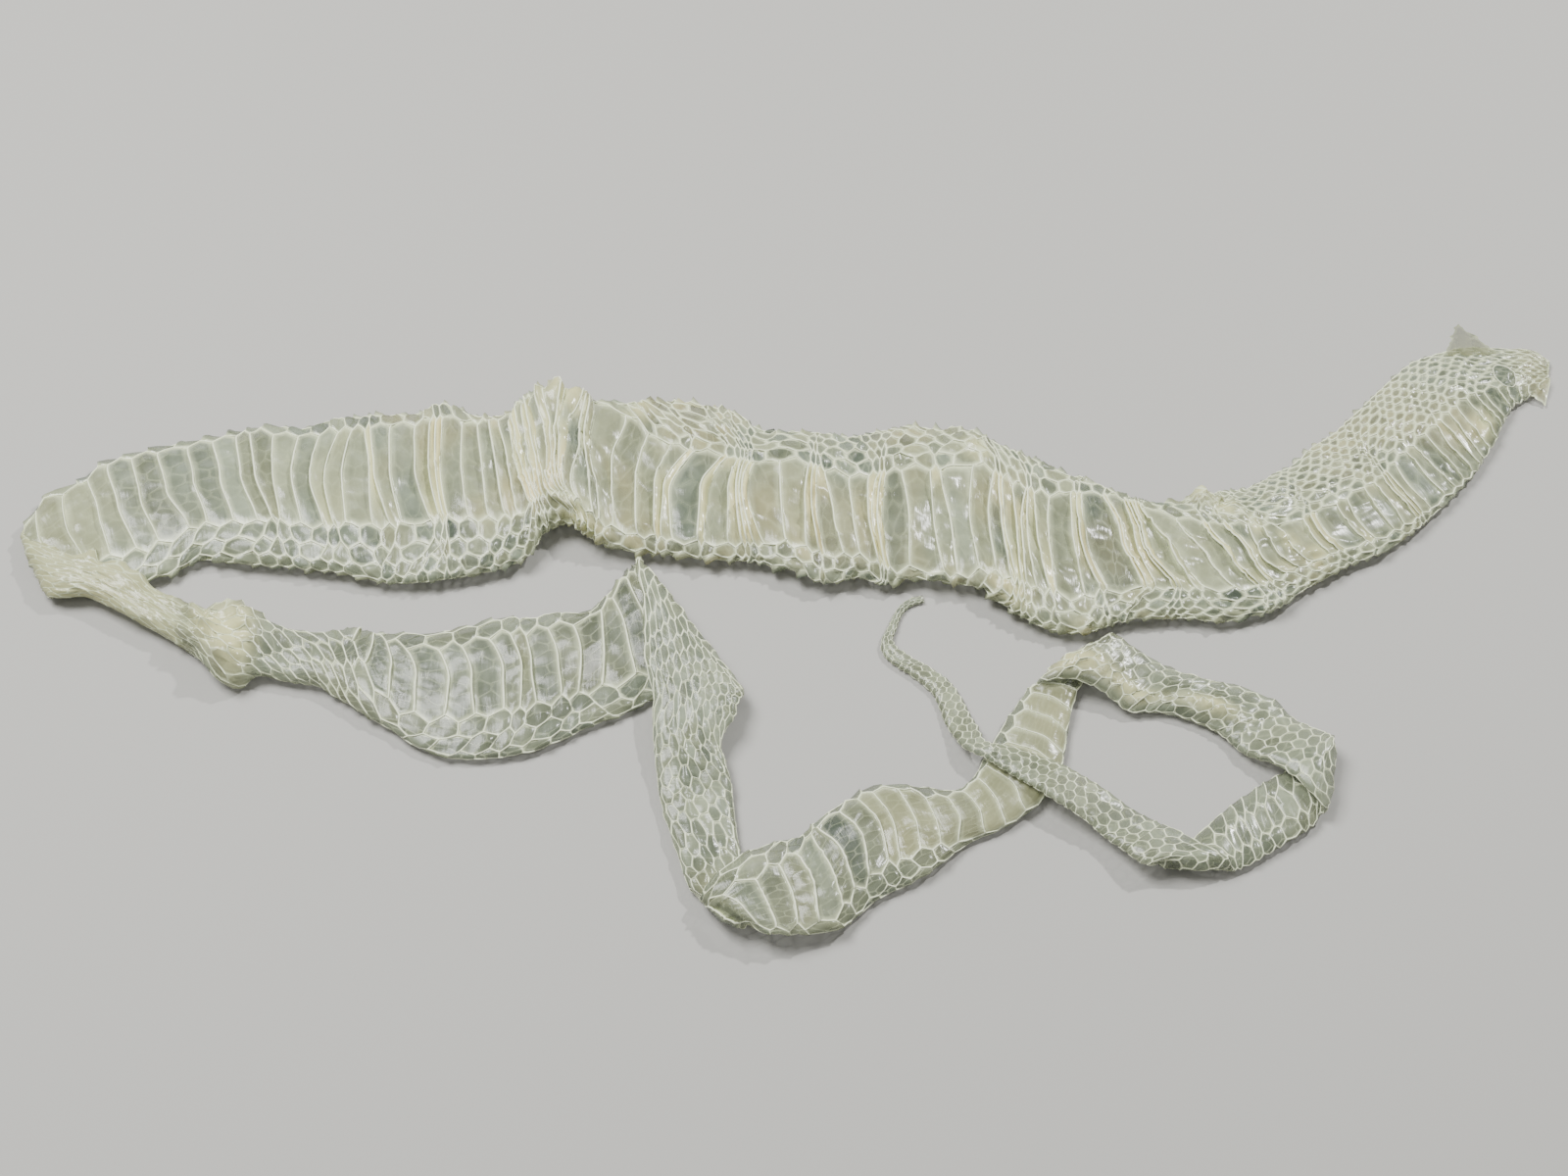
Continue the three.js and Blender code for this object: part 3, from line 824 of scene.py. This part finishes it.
def fill_cells(section, film):
    """Fill every six-sided cell of a section with film: a rim, a flat pane and its middle."""
    numbered = {}
    for j in range(section.back if section.scuted else section.rows):
        for start in range(j % 2 - 2, section.last + 1):
            first, last = max(start, 0), min(start + 2, section.last)
            if (start + j) % 2 == 0 or last <= first:
                continue
            keys = cell_outline(j, first, last)
            places = np.array([section.place_of(*key) for key in keys])
            rim = []
            for (k, row, kind), (s, q) in zip(keys, places):
                shared = (k, row % section.rows, kind)
                if shared not in numbered:
                    numbered[shared] = int(film.add(s, q, 0.0, 1.0, 0.0, 0.0)[0])
                rim.append(numbered[shared])
            centre = places.mean(axis=0)
            length, turns_wide = np.ptp(places, axis=0)
            toward_tail = (places[:, 0] - centre[0]) / max(length / 2, 0.1)
            sideways = (places[:, 1] - centre[1]) / max(turns_wide / 2, 0.001)
            loose = along_skin(GATHER, centre[0])
            calm = along_skin(CALM, centre[0])
            rolled = along_skin(SMOOTHED, centre[0])
            width = turns_wide * np.interp(centre[0], reach, girths)
            scale = np.clip(min(width, length) / USUAL_CELL, 0.25, 1.3)
            on_edge = math.exp(-((((centre[1] + 0.25) % 0.5) - 0.25) / EDGE_WIDE) ** 2)
            tilt = chance.uniform(*SCALE_TILT) + RUFFLE * loose * chance.uniform(0, 1)
            tilt = scale * calm * tilt
            smooth = 1 - 0.8 * rolled
            tilt = smooth * (tilt + scale * on_edge * chance.uniform(*EDGE_RUFFLE) * calm)
            lean = scale * smooth * calm * chance.normal(0, 0.12 + 0.2 * loose)
            inset = along_skin(PANE_SIZE, centre[0]) * chance.uniform(0.92, 1.08)
            round_off = np.array([CORNERS_IN if kind == "at" else SIDES_OUT for _, _, kind in keys])
            inner = centre + (places - centre) * (round_off * inset)[:, None]
            inner[:, 0] += 0.06 * length * np.clip(toward_tail, 0, 1)
            lift = PANE_LIFT * scale * calm + tilt * toward_tail.clip(-0.5, 1) + lean * sideways
            tint = chance.normal(0, 1) + along_skin(DARKER, centre[0])
            stack = np.clip(0.1 + 0.25 * loose * chance.uniform(-1, 1), 0, 1)
            stack = max(stack, 0.6 * rolled)
            pane = film.add(inner[:, 0], inner[:, 1], lift, 0.0, stack, tint)
            bulge = PANE_LIFT * scale * calm + chance.uniform(-0.3, 0.7) * tilt
            middle = film.add(centre[0] + 0.1 * length, centre[1], bulge, 0.0, stack, tint)[0]
            for a in range(len(rim)):
                b = (a + 1) % len(rim)
                film.faces.append((rim[b], rim[a], pane[a], pane[b]))
                film.faces.append((pane[b], pane[a], middle))


print("a scale's free end stands up", SCALE_TILT[0], "to", SCALE_TILT[1], "mm where it lies calm")

# %% Lines between the cells
USUAL_HINGED = 3.2         # mm, the width of a cell with hinges of full size
HINGE_LIFT = 0.08          # mm


def keep_lines(section, hinges):
    """Keep the lines between the cells as runs of hinge skin: rows of (s, q, lift, size)."""
    for j in range(section.rows):
        belly_side = section.scuted and j == section.back
        for k in range(section.last + 1):
            here, across = section.corner(k, j), section.corner(k, j + 1)
            width = (across[1] - here[1]) * np.interp(here[0], reach, girths)
            size = chance.uniform(0.85, 1.15) * np.clip(width / USUAL_HINGED, 0.3, 1.0)
            size *= 1 - 0.8 * along_skin(SMOOTHED, here[0])
            ends = [section.corner(k + 1, j)] if k < section.last else []
            if (k + j) % 2 == 1 and not belly_side:
                ends.append(across)
            for end in ends:
                run = [(*between(here, end, share), HINGE_LIFT, size) for share in (0, 0.5, 1)]
                hinges.append(np.array(run, float))


print("hinges reach full size round cells", USUAL_HINGED, "mm wide")

# %% [markdown]
# ## Belly scutes
# A belly scute is hinged at its front edge, and its back edge lies free over the next one. Where the
# skin is gathered the scutes tilt up like the slats of a blind, and the folds between them stack up
# and turn opaque. Each scute is a grid of faces: its rows tilt it up to the free hem, and the last
# row drops back to the hinge of the next scute.

# %% Scutes
LEAST_TILT = 0.45      # mm that a scute's free hem stands up where the skin lies flat
MOST_SPARE = 3.2       # mm of spare film that can stand up in one scute
HEM_LIFT = 0.03        # mm from the hem to its hinge
SCUTE_BOW = 0.12       # mm


def fill_scutes(section, film, hinges):
    """Fill every belly scute of a section with film, tilted like the slat of a blind."""
    u = np.linspace(0, 1, SCUTE_COLUMNS + 1)
    ends = np.sin(math.pi * u) ** 0.45
    side_rim = np.clip(1 - np.minimum(u, 1 - u) * SCUTE_COLUMNS / 1.4, 0, 1)
    for k in range(0, section.last - 1, 2):
        at = section.courses[k, 1]
        pitch = section.courses[k + 2] - section.courses[k]
        here_pitch = round_weights((u - 0.5) * 2 * BELLY_HALF) @ pitch
        loose = along_skin(GATHER, at)
        usual = along_skin(PITCH, at)
        hinge_size = along_skin(SCUTE_HINGE, at)
        spare = np.sqrt(np.clip((FILM_SPARE * usual) ** 2 - here_pitch**2, 0.2, None)) / 2
        slack = np.clip(loose * 1.3, 0, 1)
        standing = (0.1 + 0.62 * slack) * np.minimum(spare, MOST_SPARE)
        tilt = (LEAST_TILT + standing * chance.uniform(0.55, 1.15)) * hinge_size
        swell = 2 * math.pi * (u * chance.uniform(0.5, 1.5) + chance.uniform())
        tilt = tilt * (1 + 0.25 * np.cos(swell))
        overlap = 0.5 + 0.8 * loose * chance.uniform(0.2, 1)
        tint = chance.normal(0, 1) + along_skin(DARKER, at)
        crowded = np.clip(1.2 - here_pitch / (0.95 * usual), 0, 1) * slack
        crowded = np.clip(crowded + 0.3 * chance.uniform() * slack, 0, 1)
        crowded = np.maximum(crowded, along_skin(OPAQUE, at) * chance.uniform(0.7, 1.2))
        borders = [
            [(step, *section.corner(k + step, row)) for step in (0, 1, 2)]
            for row in (section.back, section.rows)
        ]
        grid = []
        for r in SCUTE_ROWS:
            left, right = (keyed(border, 2 * r) for border in borders)
            q = left[1] + (right[1] - left[1]) * u
            start, stop = section.line_s(k, q, left[0]), section.line_s(k + 2, q, left[0])
            course = start + (stop - start) * r
            s = course + (left[0] - course[0]) * (1 - u) ** 6 + (right[0] - course[-1]) * u**6
            lift = 0.0 * u
            if r < 1.0:
                s = s + overlap * ends * np.clip((r - 0.5) / (SCUTE_HEM - 0.5), 0, 1) ** 2
                lift = ends * (tilt * r / SCUTE_HEM + SCUTE_BOW * math.sin(math.pi * r))
            rim = np.maximum(HEM_RIM.get(r, 0.0), side_rim)
            grid.append(film.add(s, q, lift, rim, crowded, tint))
            if r == SCUTE_HEM:
                size = chance.uniform(1.0, 1.4) * hinge_size
                hinges.append(np.stack([s, q, lift + HEM_LIFT, 0 * u + size], axis=-1))
        for low, high in zip(grid, grid[1:]):
            for a in range(SCUTE_COLUMNS):
                film.faces.append((low[a], low[a + 1], high[a + 1], high[a]))


print("one scute can hold up to", MOST_SPARE, "mm of spare film")

# %% Closed ends
LIPS_STACK = 0.3       # how opaque the closed ends are


def close_end(film, s):
    """Close the flat tube at its mouth or its tip with a narrow strip from lip to lip."""
    turns = np.linspace(0.0, 0.5, 13)
    upper = film.add(s, turns, 0.0, 1.0, LIPS_STACK, 0.0)
    lower = film.add(s, 1 - turns, 0.0, 1.0, LIPS_STACK, 0.0)
    for a in range(len(turns) - 1):
        corners = (lower[a], lower[a + 1], upper[a + 1], upper[a])
        film.faces.append(corners if s < LENGTH / 2 else corners[::-1])


print("the mouth is closed at", ROWS_ON[0][0], "mm and the tip at", round(ROWS_ON[-1][1], 1), "mm")

# %% The whole lattice
trunk_film, tail_film = Film(), Film()
trunk_hinges, tail_hinges = [], []
for start, stop, rows_back, rows_belly in ROWS_ON:
    section = Section(start, stop, rows_back, rows_belly)
    film, hinges = (trunk_film, trunk_hinges) if section.scuted else (tail_film, tail_hinges)
    fill_cells(section, film)
    keep_lines(section, hinges)
    if section.scuted:
        fill_scutes(section, film, hinges)
    print(rows_back, "rows on the back,", section.last // 2, "steps,", film.count, "points so far")

close_end(trunk_film, ROWS_ON[0][0])
close_end(tail_film, ROWS_ON[-1][1])

# %% [markdown]
# ## Shader helpers
# Colours are written as they look on a screen, and one function turns them to linear light. A second
# small function adds a node to a tree with its settings and its links, and gives back its output.

# %% Colour and node helpers
def colour(hex_text):
    """Linear colour with alpha from a screen colour such as #A0B1C2."""
    parts = [int(hex_text[i : i + 2], 16) / 255 for i in (1, 3, 5)]
    return tuple(p / 12.92 if p <= 0.04045 else ((p + 0.055) / 1.055) ** 2.4 for p in parts) + (1.0,)


def add_node(tree, kind, inputs=None, out=0, **settings):
    """Add a node and return one of its outputs. Inputs map sockets to values or other outputs."""
    node = tree.nodes.new(kind)
    for key, value in settings.items():
        setattr(node, key, value)
    for key, value in (inputs or {}).items():
        if isinstance(value, bpy.types.NodeSocket):
            tree.links.new(value, node.inputs[key])
        else:
            node.inputs[key].default_value = value
    return node.outputs[out] if node.outputs else None


def new_material(name):
    """An empty node material and its tree."""
    material = bpy.data.materials.new(name)
    material.use_nodes = True
    material.node_tree.nodes.clear()
    return material, material.node_tree


print("mid grey in linear light:", [round(part, 3) for part in colour("#808080")])

# %% [markdown]
# ## The film's finish
# Shed keratin is a clear, faintly horny film, thinner than paper. A flat pane of it looks grey-green
# and glassy. Near the hinges, and where folds stack up, it turns cream and hides what is under it.
# Fine crinkles break up its gloss. They are far thinner than a picture can show, so they are drawn
# as coarse as they need to be. Each pattern is given by its features in a stretch of 100 mm.

# %% Film material
FILM_IOR = 1.54        # keratin
SPAN = 0.1             # m, the stretch of film in which the features of each pattern are counted
CLOUDS = 14            # cloudy spots, 7 mm wide
STAINS = 3.8           # stains, 26 mm wide
CREASES = 17           # creases, 6 mm apart, with finer ones between
STREAKS = (110, 22)    # streaks 0.9 mm wide and 4.5 mm long; the map's unit is the same stretch


def film_material():
    """Shed keratin: glassy grey panes, cream hinges, crinkled gloss."""
    material, tree = new_material("shed_keratin_film")
    rim = add_node(tree, "ShaderNodeAttribute", out="Fac", attribute_name="rim")
    stack = add_node(tree, "ShaderNodeAttribute", out="Fac", attribute_name="stack")
    tint = add_node(tree, "ShaderNodeAttribute", out="Fac", attribute_name="tint")
    spot = add_node(tree, "ShaderNodeTexCoord", out="Object")
    flat = add_node(tree, "ShaderNodeUVMap", uv_map="film_mm")

    # Each pane has its own shade of grey-green, a little cloudy; folds on each other turn it cream.
    cloud = add_node(tree, "ShaderNodeTexNoise", {"Vector": spot, "Scale": CLOUDS / SPAN, "Detail": 4.0})
    shade = add_node(tree, "ShaderNodeMath", {0: tint, 1: 0.16, 2: cloud}, operation="MULTIPLY_ADD")
    pane = add_node(tree, "ShaderNodeMix", {
        "Factor": shade, 6: colour("#465247"), 7: colour("#95A089"),
    }, out=2, data_type="RGBA")
    folded = add_node(tree, "ShaderNodeMix", {
        "Factor": stack, 6: pane, 7: colour("#D0CF98"),
    }, out=2, data_type="RGBA")

    # Here and there the pleats of the body are stained more yellow.
    patches = add_node(tree, "ShaderNodeTexNoise", {
        "Vector": spot, "Scale": STAINS / SPAN, "Detail": 1.0,
    })
    patch = add_node(tree, "ShaderNodeMapRange", {
        "Value": patches, "From Min": 0.47, "From Max": 0.66, "To Min": 0.0, "To Max": 0.9,
    })
    along = add_node(tree, "ShaderNodeSeparateXYZ", {"Vector": flat})
    on_body = add_node(tree, "ShaderNodeMapRange", {
        "Value": along, "From Min": 3.3, "From Max": 4.2, "To Min": 1.0, "To Max": 0.2,
    })
    takes = add_node(tree, "ShaderNodeMapRange", {"Value": stack, "To Min": 0.18, "To Max": 1.0})
    stained = patch
    for share in (takes, on_body):
        stained = add_node(tree, "ShaderNodeMath", {0: stained, 1: share}, operation="MULTIPLY")
    folded = add_node(tree, "ShaderNodeMix", {
        "Factor": stained, 6: folded, 7: colour("#DACB8C"),
    }, out=2, data_type="RGBA")
    near = add_node(tree, "ShaderNodeMath", {0: rim, 1: 0.75}, operation="POWER")
    shown = add_node(tree, "ShaderNodeMix", {
        "Factor": near, 6: folded, 7: colour("#DCE3BC"),
    }, out=2, data_type="RGBA")

    # The gloss is broken up by streaks across the skin and by a net of finer creases.
    streaks = add_node(tree, "ShaderNodeMapping", {"Vector": flat, "Scale": (*STREAKS, 1.0)})
    streak = add_node(tree, "ShaderNodeTexNoise", {"Vector": streaks, "Scale": 1.0, "Detail": 2.0})
    crinkle = add_node(tree, "ShaderNodeTexNoise", {
        "Vector": spot, "Scale": CREASES / SPAN, "Detail": 3.0, "Roughness": 0.55,
        "Lacunarity": 2.2,
    }, noise_type="RIDGED_MULTIFRACTAL")
    high = add_node(tree, "ShaderNodeMath", {0: streak, 1: 0.25, 2: crinkle},
                    operation="MULTIPLY_ADD")
    bump = add_node(tree, "ShaderNodeBump", {"Height": high, "Strength": 0.6, "Distance": 0.0006})
    gloss = add_node(tree, "ShaderNodeMapRange", {"Value": cloud, "To Min": 0.1, "To Max": 0.38})

    # A single layer lets about half the light through; rims and stacked folds hardly any.
    single = add_node(tree, "ShaderNodeMapRange", {
        "Value": shade, "From Min": 0.2, "From Max": 0.8, "To Min": 0.48, "To Max": 0.68,
    })
    cover = add_node(tree, "ShaderNodeMath", {0: near, 1: stack}, operation="MAXIMUM")
    alpha = add_node(tree, "ShaderNodeMapRange", {"Value": cover, "To Min": single, "To Max": 0.94})
    shader = add_node(tree, "ShaderNodeBsdfPrincipled", {
        "Base Color": shown, "Alpha": alpha, "Roughness": gloss, "Normal": bump, "IOR": FILM_IOR,
    })
    add_node(tree, "ShaderNodeOutputMaterial", {"Surface": shader})
    return material


keratin = film_material()
print("material:", keratin.name)

# %% Hinge skin material
GRAINS = 18            # grains of dried skin in the same stretch, 5.5 mm wide


def hinge_material():
    """Hinge skin: matt cream keratin, thicker and more opaque than the panes."""
    material, tree = new_material("cream_hinge_skin")
    spot = add_node(tree, "ShaderNodeTexCoord", out="Object")
    cloud = add_node(tree, "ShaderNodeTexNoise", {"Vector": spot, "Scale": GRAINS / SPAN, "Detail": 3.0})
    shown = add_node(tree, "ShaderNodeMix", {
        "Factor": cloud, 6: colour("#D3D8B8"), 7: colour("#EEF2D8"),
    }, out=2, data_type="RGBA")
    bump = add_node(tree, "ShaderNodeBump", {"Height": cloud, "Strength": 0.4, "Distance": 0.0003})
    shader = add_node(tree, "ShaderNodeBsdfPrincipled", {
        "Base Color": shown, "Roughness": 0.48, "Normal": bump, "IOR": FILM_IOR,
    })
    add_node(tree, "ShaderNodeOutputMaterial", {"Surface": shader})
    return material


cream = hinge_material()
print("material:", cream.name)

# %% [markdown]
# ## Turning the film into meshes
# All the film's points go through the surface at once, as one long list, which is quick. What the
# finish needs to know about a point is stored on it: how near it is to a hinge, how many folds lie
# on each other there, and the tint of its own scale.

# %% Making a finished piece
MAP_UNIT = 100         # mm of film to one unit of its texture map


def placed(name, data):
    """A new object with its data, linked to the scene."""
    thing = bpy.data.objects.new(name, data)
    bpy.context.scene.collection.objects.link(thing)
    return thing


def finished_piece(name, mesh):
    """An object for a mesh, riding on the skin's body, with the imported skin hidden in its place."""
    piece = placed(name, mesh)
    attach(piece, "root")
    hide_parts("shed_skin")
    print(name, len(mesh.polygons), "faces")
    return piece


def float_layer(mesh, label, values):
    """Store one number at each point of a mesh."""
    layer = mesh.attributes.new(label, "FLOAT", "POINT")
    layer.data.foreach_set("value", np.asarray(values, np.float32))


def film_piece(name, spots, faces, rim, stack, tint, flat=None):
    """A smooth piece of film through spots in mm, with what its finish reads at each spot."""
    mesh = bpy.data.meshes.new(name)
    mesh.from_pydata((np.array(spots) * MM).tolist(), [], faces)
    for label, values in (("rim", rim), ("stack", stack), ("tint", tint)):
        float_layer(mesh, label, np.zeros(len(spots)) + values)
    mesh.polygons.foreach_set("use_smooth", [True] * len(mesh.polygons))
    if flat is not None:
        map_layer = mesh.uv_layers.new(name="film_mm")
        corners = np.zeros(len(mesh.loops), np.int32)
        mesh.loops.foreach_get("vertex_index", corners)
        map_layer.data.foreach_set("uv", flat[corners].astype(np.float32).ravel())
    mesh.validate()
    mesh.materials.append(keratin)
    return finished_piece(name, mesh)


print("one unit of the film's texture map is", MAP_UNIT, "mm")

# %% Meshes of film
CRUSHED_STACK = 0.85   # how opaque crushed film is, from one layer to many

for name, film in (("trunk_film", trunk_film), ("tail_film", tail_film)):
    s, q, lift, rim, stack, tint = np.concatenate(film.points).T
    film_piece(
        name,
        film_point(s, q, lift),
        [tuple(int(n) for n in face) for face in film.faces],
        rim,
        np.maximum(stack, CRUSHED_STACK * crushed(s, q)),
        tint,
        np.stack([s, q * np.interp(s, reach, girths)], axis=-1) / MAP_UNIT,
    )

# %% [markdown]
# ## The head end
# The snake starts its shed at the lips, so the head end is torn and turned about. The clear cap that
# covered the eye has stayed in the film as an oval window with a raised rim. Two ragged flaps of lip
# stick out beyond it. The window follows the film's surface, and each flap is a small curled sheet.

# %% Eye cap and torn lips
EYE_AT = (16.5, 0.215)     # mm along, turns round
EYE_SIZE = (3.1, 0.085)    # half its size, in the same two measures
EYE_TURNED = 0.010         # turns, how far the oval is turned about
EYE_LIFT = 0.4             # mm from the film to the rim
EYE_DOME = 0.6             # mm from the rim to the top of the cap
EYE_RINGS = [1.0, 0.85, 0.6, 0.3]
EYE_STEPS = 32


def eye_ring(share):
    """Places round the eye, at a share of its size."""
    around = np.linspace(0, 2 * math.pi, EYE_STEPS + 1)[:-1]
    s = EYE_AT[0] + EYE_SIZE[0] * share * np.cos(around)
    q = EYE_AT[1] + EYE_SIZE[1] * share * np.sin(around) + EYE_TURNED * share * np.cos(around)
    return s, q


def eye_cap(hinges):
    """The clear cap as a shallow dome over the film, with its raised rim."""
    rings = [film_point(*eye_ring(share), EYE_LIFT + EYE_DOME * (1 - share**2)) for share in EYE_RINGS]
    rings.append(film_point([EYE_AT[0]], [EYE_AT[1]], EYE_LIFT + EYE_DOME))
    faces = []
    top = len(EYE_RINGS) * EYE_STEPS
    for start in range(0, top, EYE_STEPS):
        for a in range(EYE_STEPS):
            outer = (start + (a + 1) % EYE_STEPS, start + a)
            inner = (outer[1] + EYE_STEPS, outer[0] + EYE_STEPS)
            faces.append(outer + (inner if inner[0] < top else (top,)))
    s, q = eye_ring(1.0)
    run = np.stack([s, q, 0 * s + EYE_LIFT, 0 * s + 0.7], axis=-1)
    hinges.append(np.concatenate([run, run[:1]]))
    film_piece("eye_cap", np.concatenate(rings), faces, 0.0, 0.0, -1.5)


def torn_flap(name, first, second, tip, curl, stack, steps=16):
    """A three-cornered sheet of torn film, in mm, creased along its height, with a ragged edge."""
    first, second, tip = (np.array(corner, float) for corner in (first, second, tip))
    normal = np.cross(second - first, tip - first)
    normal /= np.linalg.norm(normal)
    width = np.linalg.norm(second - first)
    spots, faces, rows, rims, stacks = [], [], [], [], []
    for i in range(steps + 1):
        count = steps + 1 - i
        rows.append(list(range(len(spots), len(spots) + count)))
        for j in range(count):
            a, b = j / steps, i / steps
            crease = abs(math.sin(0.65 * width * a + 4 * b)) ** 0.5
            out = curl * b * b + width * 0.08 * (crease - 0.7) * (1 - 0.6 * b) + chance.normal(0, 0.05)
            on_edge = i > 0 and j in (0, count - 1)
            ragged = a + (chance.normal(0, 0.018) if on_edge else 0)
            spots.append(first + (second - first) * ragged + (tip - first) * b + normal * out)
            rims.append(0.9 if on_edge else 0.75 * max(0, 1 - 2.2 * crease))
            stacks.append(stack * (1 - 0.4 * b))
    for low, high in zip(rows, rows[1:]):
        for a in range(len(high)):
            faces.append((low[a], low[a + 1], high[a]))
            if a + 1 < len(high):
                faces.append((low[a + 1], high[a + 1], high[a]))
    film_piece(name, spots, faces, rims, stacks, -1.0)


eye_cap(trunk_hinges)
torn_flap("lip_flap_upper", (189.5, 92.5, 3.0), (206.0, 94.0, 3.0), (192.3, 98.6, 11.4), 0.6, 0.5)
torn_flap("lip_flap_lower", (220.3, 86.2, 2.0), (213.0, 79.4, 2.2), (217.0, 76.0, 0.4), 0.3, 0.2, 9)

# %% [markdown]
# ## The hinge skin
# Between the scales the skin is soft and folded on itself, so it dries to a pale raised line round
# each cell. Each line could be a curve with a bevel, but there are thousands of them. Geometry Nodes
# turn a whole net of plain edges into thin tubes in one go, with one input for the tube's size.

# %% Hinge skin by Geometry Nodes
def bead_tree(material):
    """Edges in, thin tubes of hinge skin out. Its input is the tube's radius."""
    tree = bpy.data.node_groups.new("hinge_beads", "GeometryNodeTree")
    tree.interface.new_socket("Geometry", in_out="INPUT", socket_type="NodeSocketGeometry")
    radius = tree.interface.new_socket("Bead radius", in_out="INPUT", socket_type="NodeSocketFloat")
    tree.interface.new_socket("Geometry", in_out="OUTPUT", socket_type="NodeSocketGeometry")
    net = add_node(tree, "NodeGroupInput")
    given = net.node.outputs["Bead radius"]
    bead = add_node(tree, "GeometryNodeInputNamedAttribute", {"Name": "bead"}, data_type="FLOAT")
    scaled = add_node(tree, "ShaderNodeMath", {0: bead, 1: given}, operation="MULTIPLY")
    lines = add_node(tree, "GeometryNodeMeshToCurve", {"Mesh": net})
    profile = add_node(tree, "GeometryNodeCurvePrimitiveCircle", {"Resolution": 4, "Radius": 1.0})
    tubes = add_node(tree, "GeometryNodeCurveToMesh", {
        "Curve": lines, "Profile Curve": profile, "Scale": scaled, "Fill Caps": True,
    })
    real = add_node(tree, "GeometryNodeRealizeInstances", {"Geometry": tubes})
    smooth = add_node(tree, "GeometryNodeSetShadeSmooth", {"Geometry": real})
    dressed = add_node(tree, "GeometryNodeSetMaterial", {"Geometry": smooth, "Material": material})
    add_node(tree, "NodeGroupOutput", {"Geometry": dressed})
    return tree, radius.identifier


beads, bead_radius = bead_tree(cream)
print("bead tree:", len(beads.nodes), "nodes, with its radius on", bead_radius)

# %% Net of hinge skin
def hinge_piece(name, runs, tree, radius_socket, radius):
    """One piece of hinge skin along the given runs."""
    rows = np.concatenate(runs)
    spots = film_point(rows[:, 0], rows[:, 1], rows[:, 2]) * MM
    edges, start = [], 0
    for run in runs:
        edges += [(start + i, start + i + 1) for i in range(len(run) - 1)]
        start += len(run)
    wire = bpy.data.meshes.new(name + "_lines")
    wire.from_pydata(spots.tolist(), edges, [])
    float_layer(wire, "bead", rows[:, 3])
    net = placed(name + "_lines", wire)
    modifier = net.modifiers.new("beads", "NODES")
    modifier.node_group = tree
    modifier[radius_socket] = radius
    ready = net.evaluated_get(bpy.context.evaluated_depsgraph_get())
    mesh = bpy.data.meshes.new_from_object(ready)
    bpy.data.objects.remove(net)
    mesh.name = name
    return finished_piece(name, mesh)


half = len(trunk_hinges) // 2
for name, runs, radius in (
    ("trunk_hinges_a", trunk_hinges[:half], 0.23),
    ("trunk_hinges_b", trunk_hinges[half:], 0.23),
    ("tail_hinges", tail_hinges, 0.18),
):
    hinge_piece(name, runs, beads, bead_radius, radius * MM)

# %% [markdown]
# ## Floor, light and camera
# The skin lies on a plain pale floor. A wide soft light behind and above it gives the film its sheen
# and soft shadows on the near side, and a small one adds the sharp glints on the creases.

# %% Floor
FLOOR_HALF = 3.0       # m
FLOOR_LEVEL = -0.0002  # m, a little under the skin
corner_signs = ((-1, -1), (1, -1), (1, 1), (-1, 1))
floor_corners = [(x * FLOOR_HALF, y * FLOOR_HALF, FLOOR_LEVEL) for x, y in corner_signs]
floor_mesh = bpy.data.meshes.new("floor")
floor_mesh.from_pydata(floor_corners, [], [(0, 1, 2, 3)])
floor = placed("floor", floor_mesh)
paper, paper_tree = new_material("pale_floor")
matt = {"Base Color": colour("#A1A09B"), "Roughness": 0.7}
paper_shader = add_node(paper_tree, "ShaderNodeBsdfPrincipled", matt)
add_node(paper_tree, "ShaderNodeOutputMaterial", {"Surface": paper_shader})
floor_mesh.materials.append(paper)
print("floor", 2 * FLOOR_HALF, "m wide")

# %% Lights
def area_light(name, place, target, size, watts):
    """A square soft light at a place, aimed at a target."""
    data = bpy.data.lights.new(name, "AREA")
    data.size = size
    data.energy = watts
    light = placed(name, data)
    light.location = place
    aim = Vector(target) - Vector(place)
    light.rotation_euler = aim.to_track_quat("-Z", "Y").to_euler()


area_light("wide_light", (-0.55, 0.3, 1.1), (0, 0, 0), 0.6, 27.0)
area_light("glint_light", (0.7, 0.5, 0.9), (0, 0, 0), 0.05, 13.0)
world = bpy.data.worlds.new("studio")
world.use_nodes = True
background = world.node_tree.nodes["Background"]
background.inputs["Color"].default_value = (1.0, 1.0, 1.0, 1.0)
background.inputs["Strength"].default_value = 0.36
bpy.context.scene.world = world
print("lights:", [light.name for light in bpy.data.lights])

# %% Camera
VIEW_DOWN = math.radians(55)
VIEW_FAR = 0.6
VIEW_AIM = Vector((-0.0055, 0.0115, 0.0))
camera_data = bpy.data.cameras.new("camera")
camera_data.lens = 50
camera_data.sensor_width = 36
camera = placed("camera", camera_data)
back_off = Vector((0, -math.cos(VIEW_DOWN), math.sin(VIEW_DOWN)))
camera.location = VIEW_AIM + back_off * VIEW_FAR
camera.rotation_euler = (-back_off).to_track_quat("-Z", "Y").to_euler()
bpy.context.scene.camera = camera
print("camera at", [round(v, 4) for v in camera.location])
